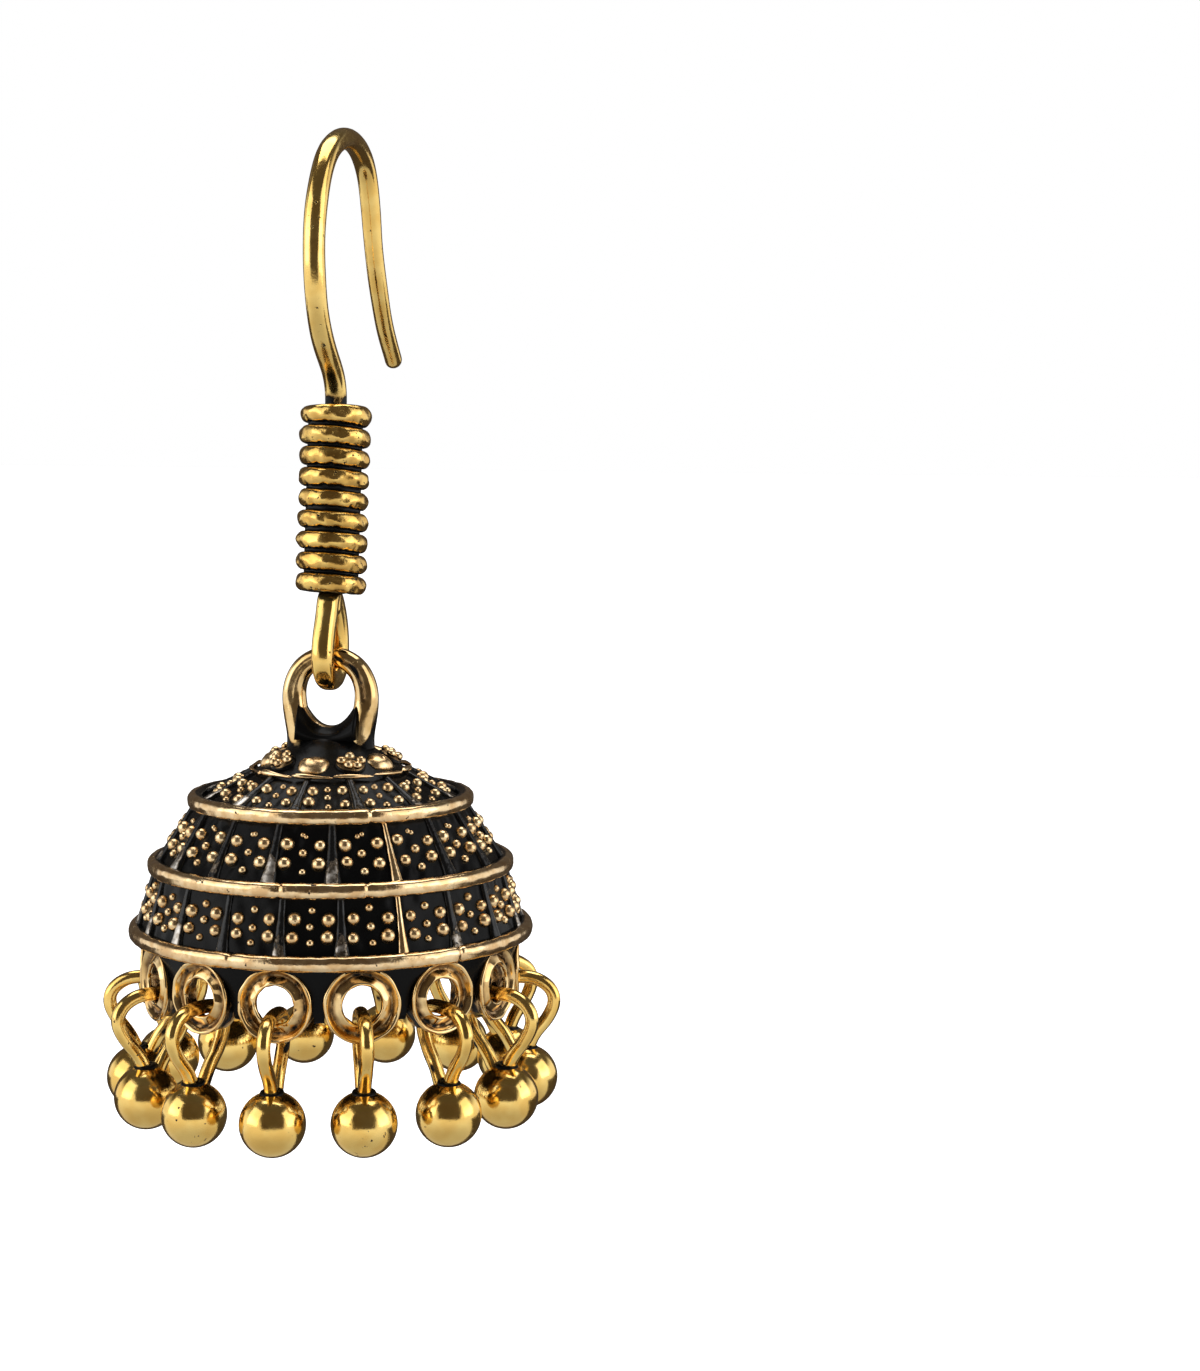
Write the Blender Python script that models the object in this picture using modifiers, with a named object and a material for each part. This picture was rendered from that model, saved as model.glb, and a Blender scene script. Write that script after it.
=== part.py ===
# Jhumka drop earring in antique gold: an ear wire with a ribbed sleeve, and a stepped bell that
# hangs from the wire's eye by its bail, with a ring of ball drops linked through its eyelets.
# Metres, +Z up. The wire lies in the YZ plane, with its open hook towards +Y. The origin is the
# underside of the wire at the top of its arch, where the earring hangs in the ear.

import math

import bmesh
import bpy
from mathutils import Matrix, Vector

MM = 0.001

# Ear wire
WIRE_D = 1.25 * MM
FRONT_REACH = 6.3 * MM
SLEEVE_TOP_DROP = 15.4 * MM
SHANK_OFFSET = 2.2 * MM
TIP_REACH = 9.95 * MM
TIP_DROP = 12.7 * MM
EYE_WIDTH = 3.1 * MM
EYE_HEIGHT = 4.15 * MM
EYE_WIRE_D = 1.2 * MM

# Ribbed sleeve round the shank
SLEEVE_D = 4.06 * MM
SLEEVE_RIB_COUNT = 9
SLEEVE_RIB_PITCH = 1.212 * MM
SLEEVE_GROOVE_DEPTH = 0.42 * MM
SLEEVE_CLEARANCE = 0.2 * MM
RIB_SLANT = math.radians(2.9)
SHANK_LEAN = math.radians(7.0)

# Bell: heights are measured down from its crown
BELL_RADIUS = 11.72 * MM
BELL_HEIGHT = 15.0 * MM
WALL = 1.0 * MM
CROWN_WALL = 1.3 * MM
RIM_THICKNESS = 0.9 * MM
RIDGE_THICKNESS = 0.28 * MM
BAND_INSET = 0.16 * MM
RIDGE_INSET = 0.07 * MM
RELIEF_PROUD = 0.2 * MM
RELIEF_ROOT = 0.3 * MM
BAR_WIDTH = 0.5 * MM
BAR_SINK_SHARE = 0.3
PETAL_COUNT = 10
PETAL_WIDTH = 1.75 * MM
PETAL_LENGTH = 1.95 * MM
PETAL_THICKNESS = 0.95 * MM

# Bail on the crown, which holds the wire's eye
BAIL_WIDTH = 5.85 * MM
BAIL_RISE = 4.25 * MM
BAIL_ROOT = 1.15 * MM
BAIL_TOP_WIRE = 1.2 * MM
BAIL_FOOT_WIRE = 1.55 * MM
LINK_GAP = 0.2 * MM

# Eyelets round the mouth
EYELET_COUNT = 14
EYELET_D = 4.16 * MM
EYELET_HOLE_D = 2.76 * MM
EYELET_LENGTH = 1.3 * MM
EYELET_RIM = 0.39 * MM
EYELET_GROOVE_DEPTH = 0.16 * MM
EYELET_OVERLAP = 0.1 * MM
EYELET_STEP = 0.82 * MM

# Drops: a ball on a link
BALL_D = 3.7 * MM
DROP_WIRE = 0.78 * MM
DROP_SIDE_GAP = 0.96 * MM
DROP_TOP_GAP = 0.4 * MM
DROP_LENGTH = 8.17 * MM
DROP_OUT = 0.75 * MM
BALL_OUT = 0.35 * MM
BALL_ROOT = 0.35 * MM

# Shares of FRONT_REACH and of SLEEVE_TOP_DROP, from the arch's top to the sleeve
FRONT_ROUTE = [
    {"reach": 0.445, "drop": 0.045},
    {"reach": 0.735, "drop": 0.138},
    {"reach": 0.94, "drop": 0.286},
    {"reach": 1.0, "drop": 0.455},
    {"reach": 0.955, "drop": 0.605},
    {"reach": 0.82, "drop": 0.715},
    {"reach": 0.65, "drop": 0.80},
    {"reach": 0.45, "drop": 0.875},
    {"reach": 0.355, "drop": 0.94},
]
# Shares of TIP_REACH and TIP_DROP, from the arch's top to the open end
BACK_ROUTE = [
    {"reach": 0.26, "drop": 0.035},
    {"reach": 0.43, "drop": 0.13},
    {"reach": 0.51, "drop": 0.295},
    {"reach": 0.575, "drop": 0.475},
    {"reach": 0.67, "drop": 0.66},
    {"reach": 0.815, "drop": 0.845},
    {"reach": 1.0, "drop": 1.0},
]
# Shares of half EYE_WIDTH and of EYE_HEIGHT, round the eye from its neck
EYE_ROUTE = [
    {"across": -0.12, "drop": 0.0},
    {"across": -0.55, "drop": 0.20},
    {"across": -0.90, "drop": 0.45},
    {"across": -1.0, "drop": 0.68},
    {"across": -0.70, "drop": 0.91},
    {"across": 0.0, "drop": 1.0},
    {"across": 0.70, "drop": 0.91},
    {"across": 1.0, "drop": 0.66},
    {"across": 0.98, "drop": 0.38},
    {"across": 0.72, "drop": 0.15},
    {"across": 0.30, "drop": 0.0},
]
# One rib: shares of SLEEVE_RIB_PITCH down and of SLEEVE_GROOVE_DEPTH in from its widest ring
RIB_SECTION = [
    {"down": 0.0, "depth": 1.0},
    {"down": 0.2, "depth": 0.25},
    {"down": 0.5, "depth": 0.0},
    {"down": 0.8, "depth": 0.25},
]
# Shares of BELL_RADIUS and BELL_HEIGHT down the crown
CROWN = [
    {"radius": 0.0, "drop": 0.0},
    {"radius": 0.10, "drop": 0.020},
    {"radius": 0.17, "drop": 0.048},
    {"radius": 0.225, "drop": 0.078},
]
# Raised rings: shares of BELL_RADIUS to the outside and of BELL_HEIGHT, and how far the bands
# beside a ring lie inside its middle. Each row of bars stands in the band above its ring, and
# "turn" is the first bar's angle in degrees.
RINGS = [
    {"radius": 0.399, "drop": 0.150, "thick": RIDGE_THICKNESS, "inset": RIDGE_INSET, "bars": 0, "turn": 0.0},
    {"radius": 0.7065, "drop": 0.2673, "thick": RIM_THICKNESS, "inset": BAND_INSET, "bars": 12, "turn": 0.0},
    {"radius": 0.905, "drop": 0.5153, "thick": RIM_THICKNESS, "inset": BAND_INSET, "bars": 17, "turn": 17.3},
    {"radius": 1.0, "drop": 0.770, "thick": RIM_THICKNESS, "inset": BAND_INSET, "bars": 20, "turn": 1.75},
]
SKIRT_RADIUS_SHARE = 0.894
# Shares of half BAIL_WIDTH and of the bail's height, from its top down one leg
BAIL_ROUTE = [
    {"across": 0.44, "drop": 0.04},
    {"across": 0.80, "drop": 0.15},
    {"across": 1.0, "drop": 0.34},
    {"across": 1.0, "drop": 0.53},
    {"across": 0.91, "drop": 0.72},
    {"across": 0.84, "drop": 0.86},
    {"across": 0.84, "drop": 1.0},
]
# The link, from the ball's top round to its cut end: shares of half its width, outwards
# positive, and of its height from the ball's top
DROP_ROUTE = [
    {"out": 0.20, "up": -0.06},
    {"out": 0.42, "up": 0.16},
    {"out": 0.80, "up": 0.40},
    {"out": 1.0, "up": 0.64},
    {"out": 0.86, "up": 0.84},
    {"out": 0.46, "up": 0.97},
    {"out": 0.0, "up": 1.0},
    {"out": -0.62, "up": 0.985},
    {"out": -0.96, "up": 0.87},
    {"out": -1.0, "up": 0.64},
    {"out": -0.84, "up": 0.40},
    {"out": -0.52, "up": 0.14},
]

BELL_STEPS = 54
RIM_STEPS = 4
RIDGE_STEPS = 2
EYELET_STEPS = 14
EYELET_TURN = 0.25
HOLE_TURN = 0.5
SLEEVE_STEPS = 16
WIRE_SPAN_POINTS = 3
LOOP_SPAN_POINTS = 2
SMOOTH_ANGLE = math.radians(40)
MERGE_DISTANCE = 1e-6


def clear_scene():
    for obj in list(bpy.data.objects):
        bpy.data.objects.remove(obj)


def new_collection(name):
    collection = bpy.data.collections.new(name)
    bpy.context.scene.collection.children.link(collection)
    return collection


def metal(name, color, roughness):
    material = bpy.data.materials.new(name)
    material.use_nodes = True
    shader = material.node_tree.nodes["Principled BSDF"]
    shader.inputs["Base Color"].default_value = (*color, 1.0)
    shader.inputs["Metallic"].default_value = 1.0
    shader.inputs["Roughness"].default_value = roughness
    return material


def add_object(name, data, collection):
    obj = bpy.data.objects.new(name, data)
    collection.objects.link(obj)
    return obj


def add_helper(name, mesh):
    # A cutter or a shape to be joined: drawn as wire and left out of a render
    obj = add_object(name, mesh, helpers)
    obj.hide_render = True
    obj.display_type = "WIRE"
    return obj


def smooth_route(points, per_span, cyclic=False):
    # A Catmull-Rom curve through the points, read at even steps, with so many to a span
    count = len(points)
    spans = count if cyclic else count - 1
    steps = round(spans * per_span)
    route = []
    for step in range(steps):
        along = step * spans / steps
        span = int(along)
        t = along - span
        around = []
        for offset in (-1, 0, 1, 2):
            index = span + offset
            index = index % count if cyclic else min(max(index, 0), count - 1)
            around.append(points[index])
        before, start, end, after = around
        route.append(
            0.5 * ((2 * start) + (end - before) * t
                   + (2 * before - 5 * start + 4 * end - after) * t ** 2
                   + (3 * start - before - 3 * end + after) * t ** 3)
        )
    if not cyclic:
        route.append(points[-1])
    return route


def tube_mesh(name, route, radii, resolution=2, cyclic=False):
    # A round wire along the route, made a mesh with its end caps welded
    curve = bpy.data.curves.new(name, "CURVE")
    curve.dimensions = "3D"
    curve.bevel_depth = 1.0
    curve.bevel_resolution = resolution
    curve.use_fill_caps = True
    spline = curve.splines.new("POLY")
    spline.points.add(len(route) - 1)
    for point, place, radius in zip(spline.points, route, radii):
        point.co = (*place, 1.0)
        point.radius = radius
    spline.use_cyclic_u = cyclic
    obj = add_object(name, curve, helpers)
    mesh = evaluated_mesh(obj)
    bpy.data.objects.remove(obj)
    weld(mesh)
    return mesh


def weld(mesh):
    shape = bmesh.new()
    shape.from_mesh(mesh)
    bmesh.ops.remove_doubles(shape, verts=shape.verts, dist=MERGE_DISTANCE)
    bmesh.ops.recalc_face_normals(shape, faces=shape.faces)
    shape.to_mesh(mesh)
    shape.free()


def evaluated_mesh(obj):
    graph = bpy.context.evaluated_depsgraph_get()
    return bpy.data.meshes.new_from_object(obj.evaluated_get(graph))


def outline_mesh(name, profile):
    # An open outline of (radius, height) pairs in the XZ plane, for a Screw modifier
    mesh = bpy.data.meshes.new(name)
    places = [(radius, 0.0, height) for radius, height in profile]
    edges = [(index, index + 1) for index in range(len(places) - 1)]
    mesh.from_pydata(places, edges, [])
    return mesh


def turn(obj, steps):
    screw = obj.modifiers.new("Turn", "SCREW")
    screw.axis = "Z"
    screw.steps = steps
    screw.render_steps = steps
    screw.use_merge_vertices = True
    screw.merge_threshold = MERGE_DISTANCE


def turned_mesh(name, profile, steps):
    obj = add_object(name, outline_mesh(name, profile), helpers)
    turn(obj, steps)
    mesh = evaluated_mesh(obj)
    bpy.data.objects.remove(obj)
    weld(mesh)
    return mesh


def join(obj, other, operation="UNION"):
    boolean = obj.modifiers.new(other.name, "BOOLEAN")
    boolean.operation = operation
    boolean.solver = "EXACT"
    boolean.object = other


def joined_copies(name, mesh, places):
    # One helper mesh that holds a copy of the shape at each place
    shape = bmesh.new()
    for place in places:
        piece = mesh.copy()
        piece.transform(place)
        shape.from_mesh(piece)
        bpy.data.meshes.remove(piece)
    joined = bpy.data.meshes.new(name)
    shape.to_mesh(joined)
    shape.free()
    return add_helper(name, joined)


def round_axis(angle):
    # A turn about the bell's axis, counted from the front (-Y) towards +X
    return Matrix.Rotation(angle - math.pi / 2, 4, "Z")


def finish(obj, material, parent=None, place=(0.0, 0.0, 0.0)):
    obj.data.materials.clear()
    obj.data.materials.append(material)
    obj.data.shade_smooth()
    obj.data.set_sharp_from_angle(angle=SMOOTH_ANGLE)
    obj.location = place
    if parent:
        obj.parent = parent
        obj.location = Vector(place) - parent.location


# Places that follow from the sizes
arch_top = Vector((0.0, 0.0, WIRE_D / 2))
sleeve_length = SLEEVE_RIB_COUNT * SLEEVE_RIB_PITCH
shank_down = Vector((0.0, -math.sin(SHANK_LEAN), -math.cos(SHANK_LEAN)))
sleeve_top = arch_top + Vector((0.0, -SHANK_OFFSET, -SLEEVE_TOP_DROP))
sleeve_base = sleeve_top + shank_down * sleeve_length
eye_neck = sleeve_base + shank_down * (WIRE_D / 2 + SLEEVE_CLEARANCE)
pivot = eye_neck + Vector((0.0, 0.0, -EYE_HEIGHT))
bail_top = pivot.z + EYE_WIRE_D / 2 + LINK_GAP + BAIL_TOP_WIRE / 2
bail_height = BAIL_RISE + BAIL_ROOT
crown_top = bail_top - BAIL_RISE


def bell_point(radius_share, drop_share):
    return Vector((radius_share * BELL_RADIUS, crown_top - pivot.z - drop_share * BELL_HEIGHT))


def outward(direction):
    return Vector((-direction.y, direction.x))


def ring_centres():
    # The middle of each raised ring's round section
    centres = []
    for ring in RINGS:
        edge = bell_point(ring["radius"], ring["drop"])
        centres.append(edge - Vector((ring["thick"] / 2, 0.0)))
    return centres


def band_lines():
    # The straight lines that the bell's bands follow, from the crown to the mouth
    centres = ring_centres()
    start = bell_point(CROWN[-1]["radius"], CROWN[-1]["drop"])
    mouth = bell_point(SKIRT_RADIUS_SHARE, 1.0)
    return list(zip([start] + centres, centres + [mouth]))


def ring_arc(centre, ring, line_in, line_out, steps):
    # The outer half of a ring, between the two bands that it parts
    radius = ring["thick"] / 2
    inset = ring["inset"]
    along = math.sqrt(radius ** 2 - inset ** 2)
    down_in = (line_in[1] - line_in[0]).normalized()
    down_out = (line_out[1] - line_out[0]).normalized()
    start = -outward(down_in) * inset - down_in * along
    end = -outward(down_out) * inset + down_out * along
    first = math.atan2(start.y, start.x)
    last = math.atan2(end.y, end.x)
    arc = []
    for step in range(steps + 1):
        angle = first + (last - first) * step / steps
        arc.append(centre + Vector((math.cos(angle), math.sin(angle))) * radius)
    return arc


def bell_profile():
    # The outside from the crown down, then the inside back up
    lines = band_lines()
    outside = [bell_point(row["radius"], row["drop"]) for row in CROWN]
    for index, ring in enumerate(RINGS):
        steps = RIM_STEPS if ring["bars"] else RIDGE_STEPS
        outside += ring_arc(lines[index][1], ring, lines[index], lines[index + 1], steps)
    mouth_start, mouth_end = lines[-1]
    sideways = outward((mouth_end - mouth_start).normalized())
    outside.append(mouth_end - sideways * BAND_INSET)
    inside = [mouth_end - sideways * (BAND_INSET + WALL)]
    for index in range(len(lines) - 1, 1, -1):
        below = outward((lines[index][1] - lines[index][0]).normalized())
        above = outward((lines[index - 1][1] - lines[index - 1][0]).normalized())
        inside.append(lines[index][0] - (below + above).normalized() * (BAND_INSET + WALL))
    crown_inside = bell_point(CROWN[-1]["radius"], CROWN[-1]["drop"]) - Vector((0.0, CROWN_WALL))
    inside.append(crown_inside)
    inside.append(Vector((0.0, crown_inside.y)))
    return [(point.x, point.y) for point in outside + inside]


def relief_bars():
    # Raised bars between the panels of each band, with their ends sunk in the rims
    places = []
    for ring, line in zip(RINGS, band_lines()):
        if not ring["bars"]:
            continue
        down = line[1] - line[0]
        length = down.length - ring["thick"] * (1 - 2 * BAR_SINK_SHARE)
        middle = (line[0] + line[1]) / 2
        middle = middle - outward(down.normalized()) * (BAND_INSET + (RELIEF_ROOT - RELIEF_PROUD) / 2)
        slope = math.atan2(down.y, down.x)
        size = Matrix.Diagonal((length, BAR_WIDTH, RELIEF_ROOT + RELIEF_PROUD, 1.0))
        shift = Matrix.Translation((middle.x, 0.0, middle.y))
        for bar in range(ring["bars"]):
            angle = math.radians(ring["turn"]) + bar * math.tau / ring["bars"]
            places.append(round_axis(angle) @ shift @ Matrix.Rotation(-slope, 4, "Y") @ size)
    bar = bpy.data.meshes.new("bar")
    shape = bmesh.new()
    bmesh.ops.create_cube(shape, size=1.0)
    shape.to_mesh(bar)
    shape.free()
    return joined_copies("relief_bars", bar, places)


def petal_row():
    # Rounded bosses on the slope between the crown and the ridge
    line = band_lines()[0]
    down = line[1] - line[0]
    middle = (line[0] + line[1]) / 2 - outward(down.normalized()) * BAND_INSET
    slope = math.atan2(down.y, down.x)
    petal = bpy.data.meshes.new("petal")
    shape = bmesh.new()
    bmesh.ops.create_uvsphere(shape, u_segments=8, v_segments=6, radius=0.5)
    shape.to_mesh(petal)
    shape.free()
    size = Matrix.Diagonal((PETAL_LENGTH, PETAL_WIDTH, PETAL_THICKNESS, 1.0))
    lean = Matrix.Translation((middle.x, 0.0, middle.y)) @ Matrix.Rotation(-slope, 4, "Y")
    places = [round_axis(index * math.tau / PETAL_COUNT) @ lean @ size for index in range(PETAL_COUNT)]
    return joined_copies("petal_row", petal, places)


def eyelet_middle():
    # The eyelets hang under the lowest ring, with their outer faces a step inside its outer edge
    lowest = ring_centres()[-1]
    radius = BELL_RADIUS - EYELET_STEP - EYELET_LENGTH / 2
    return Vector((radius, lowest.y - RIM_THICKNESS / 2 - EYELET_D / 2 + EYELET_OVERLAP))


def round_the_mouth(mesh_name, mesh, eyelets, sides_turned):
    # One copy of a shape, with its axis level, at each of these eyelets. It is first turned about
    # that axis by a part of a side, so that no edge of it lies on an edge of its neighbour's.
    middle = eyelet_middle()
    level = Matrix.Translation((middle.x, 0.0, middle.y)) @ Matrix.Rotation(math.pi / 2, 4, "Y")
    place = level @ Matrix.Rotation(sides_turned * math.tau / EYELET_STEPS, 4, "Z")
    places = [round_axis(index * math.tau / EYELET_COUNT) @ place for index in eyelets]
    return joined_copies(mesh_name, mesh, places)


def eyelet_row(eyelets):
    # Short tubes with a raised rim at each end, cut open afterwards
    outer = EYELET_D / 2
    half = EYELET_LENGTH / 2
    waist = outer - EYELET_GROOVE_DEPTH
    profile = [(0.0, half), (outer, half), (outer, half - EYELET_RIM), (waist, 0.0),
               (outer, EYELET_RIM - half), (outer, -half), (0.0, -half)]
    eyelet = turned_mesh("eyelet", profile, EYELET_STEPS)
    return round_the_mouth("eyelet_row", eyelet, eyelets, EYELET_TURN)


def eyelet_holes():
    # Cutters a little longer than the eyelets and the wall behind them
    reach = EYELET_LENGTH / 2 + WALL + BAND_INSET
    radius = EYELET_HOLE_D / 2
    profile = [(0.0, reach), (radius, reach), (radius, -reach), (0.0, -reach)]
    hole = turned_mesh("eyelet_hole", profile, EYELET_STEPS)
    return round_the_mouth("eyelet_holes", hole, range(EYELET_COUNT), HOLE_TURN)


def bail_loop():
    # The closed loop on the crown: one leg mirrored, thicker towards its feet
    half = (BAIL_WIDTH - BAIL_FOOT_WIRE) / 2
    top = bail_top - pivot.z
    leg = []
    for row in BAIL_ROUTE:
        leg.append(Vector((row["across"] * half, 0.0, top - row["drop"] * bail_height)))
    other_leg = [Vector((-point.x, 0.0, point.z)) for point in reversed(leg)]
    route = smooth_route(other_leg + [Vector((0.0, 0.0, top))] + leg, LOOP_SPAN_POINTS)
    radii = []
    for point in route:
        down = (top - point.z) / bail_height
        radii.append((BAIL_TOP_WIRE + (BAIL_FOOT_WIRE - BAIL_TOP_WIRE) * down) / 2)
    return add_helper("bail_loop", tube_mesh("bail_loop", route, radii, resolution=3))


def make_ear_wire(material):
    front = [arch_top]
    for row in FRONT_ROUTE:
        front.append(arch_top + Vector((0.0, -row["reach"] * FRONT_REACH, -row["drop"] * SLEEVE_TOP_DROP)))
    back = []
    for row in BACK_ROUTE:
        back.append(arch_top + Vector((0.0, row["reach"] * TIP_REACH, -row["drop"] * TIP_DROP)))
    shank = [sleeve_top, sleeve_base, eye_neck]
    route = smooth_route(list(reversed(back)) + front, WIRE_SPAN_POINTS) + shank
    hook = add_object("ear_wire", tube_mesh("ear_wire", route, [WIRE_D / 2] * len(route)), parts)
    ring = []
    for row in EYE_ROUTE:
        across = row["across"] * EYE_WIDTH / 2
        ring.append(eye_neck + Vector((0.0, across, -row["drop"] * EYE_HEIGHT)))
    eye_route = smooth_route(ring, LOOP_SPAN_POINTS, cyclic=True)
    eye = tube_mesh("wire_eye", eye_route, [EYE_WIRE_D / 2] * len(eye_route), cyclic=True)
    join(hook, add_helper("wire_eye", eye))
    finish(hook, material)
    return hook


def make_coil_sleeve(material):
    # Round ribs with grooves between them, and a bore that clears the shank
    outer = SLEEVE_D / 2
    bore = WIRE_D / 2 + SLEEVE_CLEARANCE
    profile = [(bore, 0.0)]
    for rib in range(SLEEVE_RIB_COUNT):
        for row in RIB_SECTION:
            drop = (rib + row["down"]) * SLEEVE_RIB_PITCH
            profile.append((outer - row["depth"] * SLEEVE_GROOVE_DEPTH, -drop))
    profile.append((outer - SLEEVE_GROOVE_DEPTH, -sleeve_length))
    profile += [(bore, -sleeve_length), (bore, 0.0)]
    mesh = turned_mesh("coil_sleeve", profile, SLEEVE_STEPS)
    slant = Matrix.Identity(4)
    slant[2][0] = -math.tan(RIB_SLANT)
    mesh.transform(slant)
    sleeve = add_object("coil_sleeve", mesh, parts)
    finish(sleeve, material, place=sleeve_top)
    sleeve.rotation_euler = (-SHANK_LEAN, 0.0, 0.0)
    return sleeve


def make_bell(material, pivot_empty):
    bell = add_object("bell", outline_mesh("bell", bell_profile()), parts)
    turn(bell, BELL_STEPS)
    join(bell, relief_bars())
    join(bell, petal_row())
    join(bell, bail_loop())
    # Every second eyelet at a time, so that wide neighbours never meet within one join
    join(bell, eyelet_row(range(0, EYELET_COUNT, 2)))
    join(bell, eyelet_row(range(1, EYELET_COUNT, 2)))
    join(bell, eyelet_holes(), "DIFFERENCE")
    solid = evaluated_mesh(bell)
    bell.modifiers.clear()
    bell.data = solid
    finish(bell, material, pivot_empty, pivot)
    return bell


def drop_mesh():
    # A ball with its link: the outer strand runs into the ball's top, the inner one ends on it
    eyelet = eyelet_middle()
    half = (EYELET_LENGTH + DROP_WIRE) / 2 + DROP_SIDE_GAP
    top = eyelet.y - EYELET_HOLE_D / 2 + DROP_TOP_GAP + DROP_WIRE / 2
    ball_middle = top + DROP_WIRE / 2 - DROP_LENGTH + BALL_D / 2
    ball_top = ball_middle + BALL_D / 2
    middle = eyelet.x + DROP_OUT
    points = []
    for row in DROP_ROUTE:
        up = row["up"] * (top - ball_top)
        points.append(Vector((middle + row["out"] * half, 0.0, ball_top + up)))
    points[0].z = ball_top - BALL_ROOT
    points.append(Vector((middle - BALL_ROOT, 0.0, ball_top - BALL_ROOT)))
    link = tube_mesh("link", points, [DROP_WIRE / 2] * len(points), resolution=1)
    shape = bmesh.new()
    bmesh.ops.create_uvsphere(shape, u_segments=12, v_segments=8, radius=BALL_D / 2)
    bmesh.ops.translate(shape, verts=shape.verts, vec=(middle + BALL_OUT, 0.0, ball_middle))
    ball = bpy.data.meshes.new("ball")
    shape.to_mesh(ball)
    shape.free()
    drop = add_helper("drop_form", ball)
    join(drop, add_helper("link", link))
    return evaluated_mesh(drop)


def make_drops(material, pivot_empty):
    shared = drop_mesh()
    for index in range(EYELET_COUNT):
        drop = add_object(f"drop_{index + 1:02d}", shared, parts)
        finish(drop, material, pivot_empty, pivot)
        drop.rotation_euler = (0.0, 0.0, index * math.tau / EYELET_COUNT - math.pi / 2)


clear_scene()
parts = new_collection("Jhumka earring")
helpers = new_collection("Helpers")

polished = metal("Polished antique gold", (0.80, 0.57, 0.24), 0.22)
dented = metal("Worn antique gold", (0.70, 0.49, 0.20), 0.30)
patina = metal("Gold under black patina", (0.36, 0.26, 0.13), 0.36)

make_ear_wire(polished)
make_coil_sleeve(dented)

bell_pivot = add_object("bell_pivot", None, parts)
bell_pivot.location = pivot
make_bell(patina, bell_pivot)
make_drops(polished, bell_pivot)
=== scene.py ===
# Jhumka drop earring in antique gold: the finished surfaces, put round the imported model.
# Lengths in the dictionaries are millimetres and angles are degrees, unless a note says otherwise.
# Angles round the bell count from its front (-Y) towards +X.
import math
import bpy
import numpy as np
from mathutils import Matrix, Vector


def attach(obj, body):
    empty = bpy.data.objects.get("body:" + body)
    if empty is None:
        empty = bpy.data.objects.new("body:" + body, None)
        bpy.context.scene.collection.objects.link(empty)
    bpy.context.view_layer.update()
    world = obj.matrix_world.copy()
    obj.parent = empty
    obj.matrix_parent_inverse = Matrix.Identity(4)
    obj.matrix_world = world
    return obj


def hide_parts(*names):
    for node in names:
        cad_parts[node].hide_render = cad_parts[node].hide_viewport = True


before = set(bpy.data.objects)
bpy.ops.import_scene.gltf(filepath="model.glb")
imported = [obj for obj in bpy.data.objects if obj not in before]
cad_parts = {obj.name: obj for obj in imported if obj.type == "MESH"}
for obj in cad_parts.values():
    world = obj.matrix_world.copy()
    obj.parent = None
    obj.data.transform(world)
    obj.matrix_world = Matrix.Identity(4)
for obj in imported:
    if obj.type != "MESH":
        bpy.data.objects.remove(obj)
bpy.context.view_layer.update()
print("frame loaded:", len(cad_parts), "nodes")

mm = 0.001
turn = 2 * math.pi
up = np.array([0.0, 0.0, 1.0])


# Shapes are dictionaries: points in millimetres, faces as arrays, and one gilt value a point,
# from 0 for black patina to 1 for bare gold.

def smoothRoute(points, perSpan, closed=False):
    # Catmull-Rom: each place between two points blends the four nearest with cubic weights
    points = np.asarray(points, float)
    count = len(points)
    spans = count if closed else count - 1
    place = np.arange(spans * perSpan + (0 if closed else 1)) / perSpan
    span = np.minimum(place.astype(int), spans - 1)
    t = (place - span)[:, None]
    if closed:
        a, b, c, d = (points[(span + shift) % count] for shift in (-1, 0, 1, 2))
    else:
        a, b, c, d = (points[np.clip(span + shift, 0, count - 1)] for shift in (-1, 0, 1, 2))
    return 0.5 * (2 * b + (c - a) * t + (2 * a - 5 * b + 4 * c - d) * t ** 2
                  + (3 * b - a - 3 * c + d) * t ** 3)


def evenRoute(points, step, closed=False):
    # The same line read at equal distances along it
    if closed:
        points = np.vstack([points, points[:1]])
    along = np.concatenate([[0.0], np.cumsum(np.linalg.norm(np.diff(points, axis=0), axis=1))])
    places = np.linspace(0, along[-1], int(along[-1] / step) + 1)
    if closed:
        places = places[:-1]
    return np.stack([np.interp(places, along, points[:, axis]) for axis in range(3)], axis=1)


def softened(points, passes, closed=False):
    # Each pass moves a point to a quarter, half and quarter of its neighbours and itself
    points = points.copy()
    for _ in range(passes):
        if closed:
            points = (np.roll(points, 1, 0) + 2 * points + np.roll(points, -1, 0)) / 4
        else:
            points[1:-1] = (points[:-2] + 2 * points[1:-1] + points[2:]) / 4
    return points


def ripple(u, v, count, uWaves, vWaves, seed):
    # Unevenness from about -1 to 1: a sum of sines, each with a whole number of waves round u
    draw = np.random.default_rng(seed)
    total = np.zeros(np.broadcast(u, v).shape)
    for _ in range(count):
        inU = draw.integers(uWaves[0], uWaves[1] + 1)
        inV = draw.uniform(vWaves[0], vWaves[1]) * draw.choice([-1, 1])
        total += np.sin(inU * u + inV * v + draw.uniform(0, turn))
    return total / math.sqrt(count)


def smoothStep(low, high, value):
    # 0 below low, 1 above high, and 3t^2 - 2t^3 between
    t = np.clip((value - low) / (high - low), 0, 1)
    return t * t * (3 - 2 * t)


def roundTurn(count):
    # The angles of one whole turn in equal steps, from zero
    return np.arange(count) * turn / count


def superellipse(angle, power):
    # How far out the curve lies: the powers of cosine and sine summed, to minus one over the power
    return (np.abs(np.cos(angle)) ** power + np.abs(np.sin(angle)) ** power) ** (-1 / power)


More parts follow.
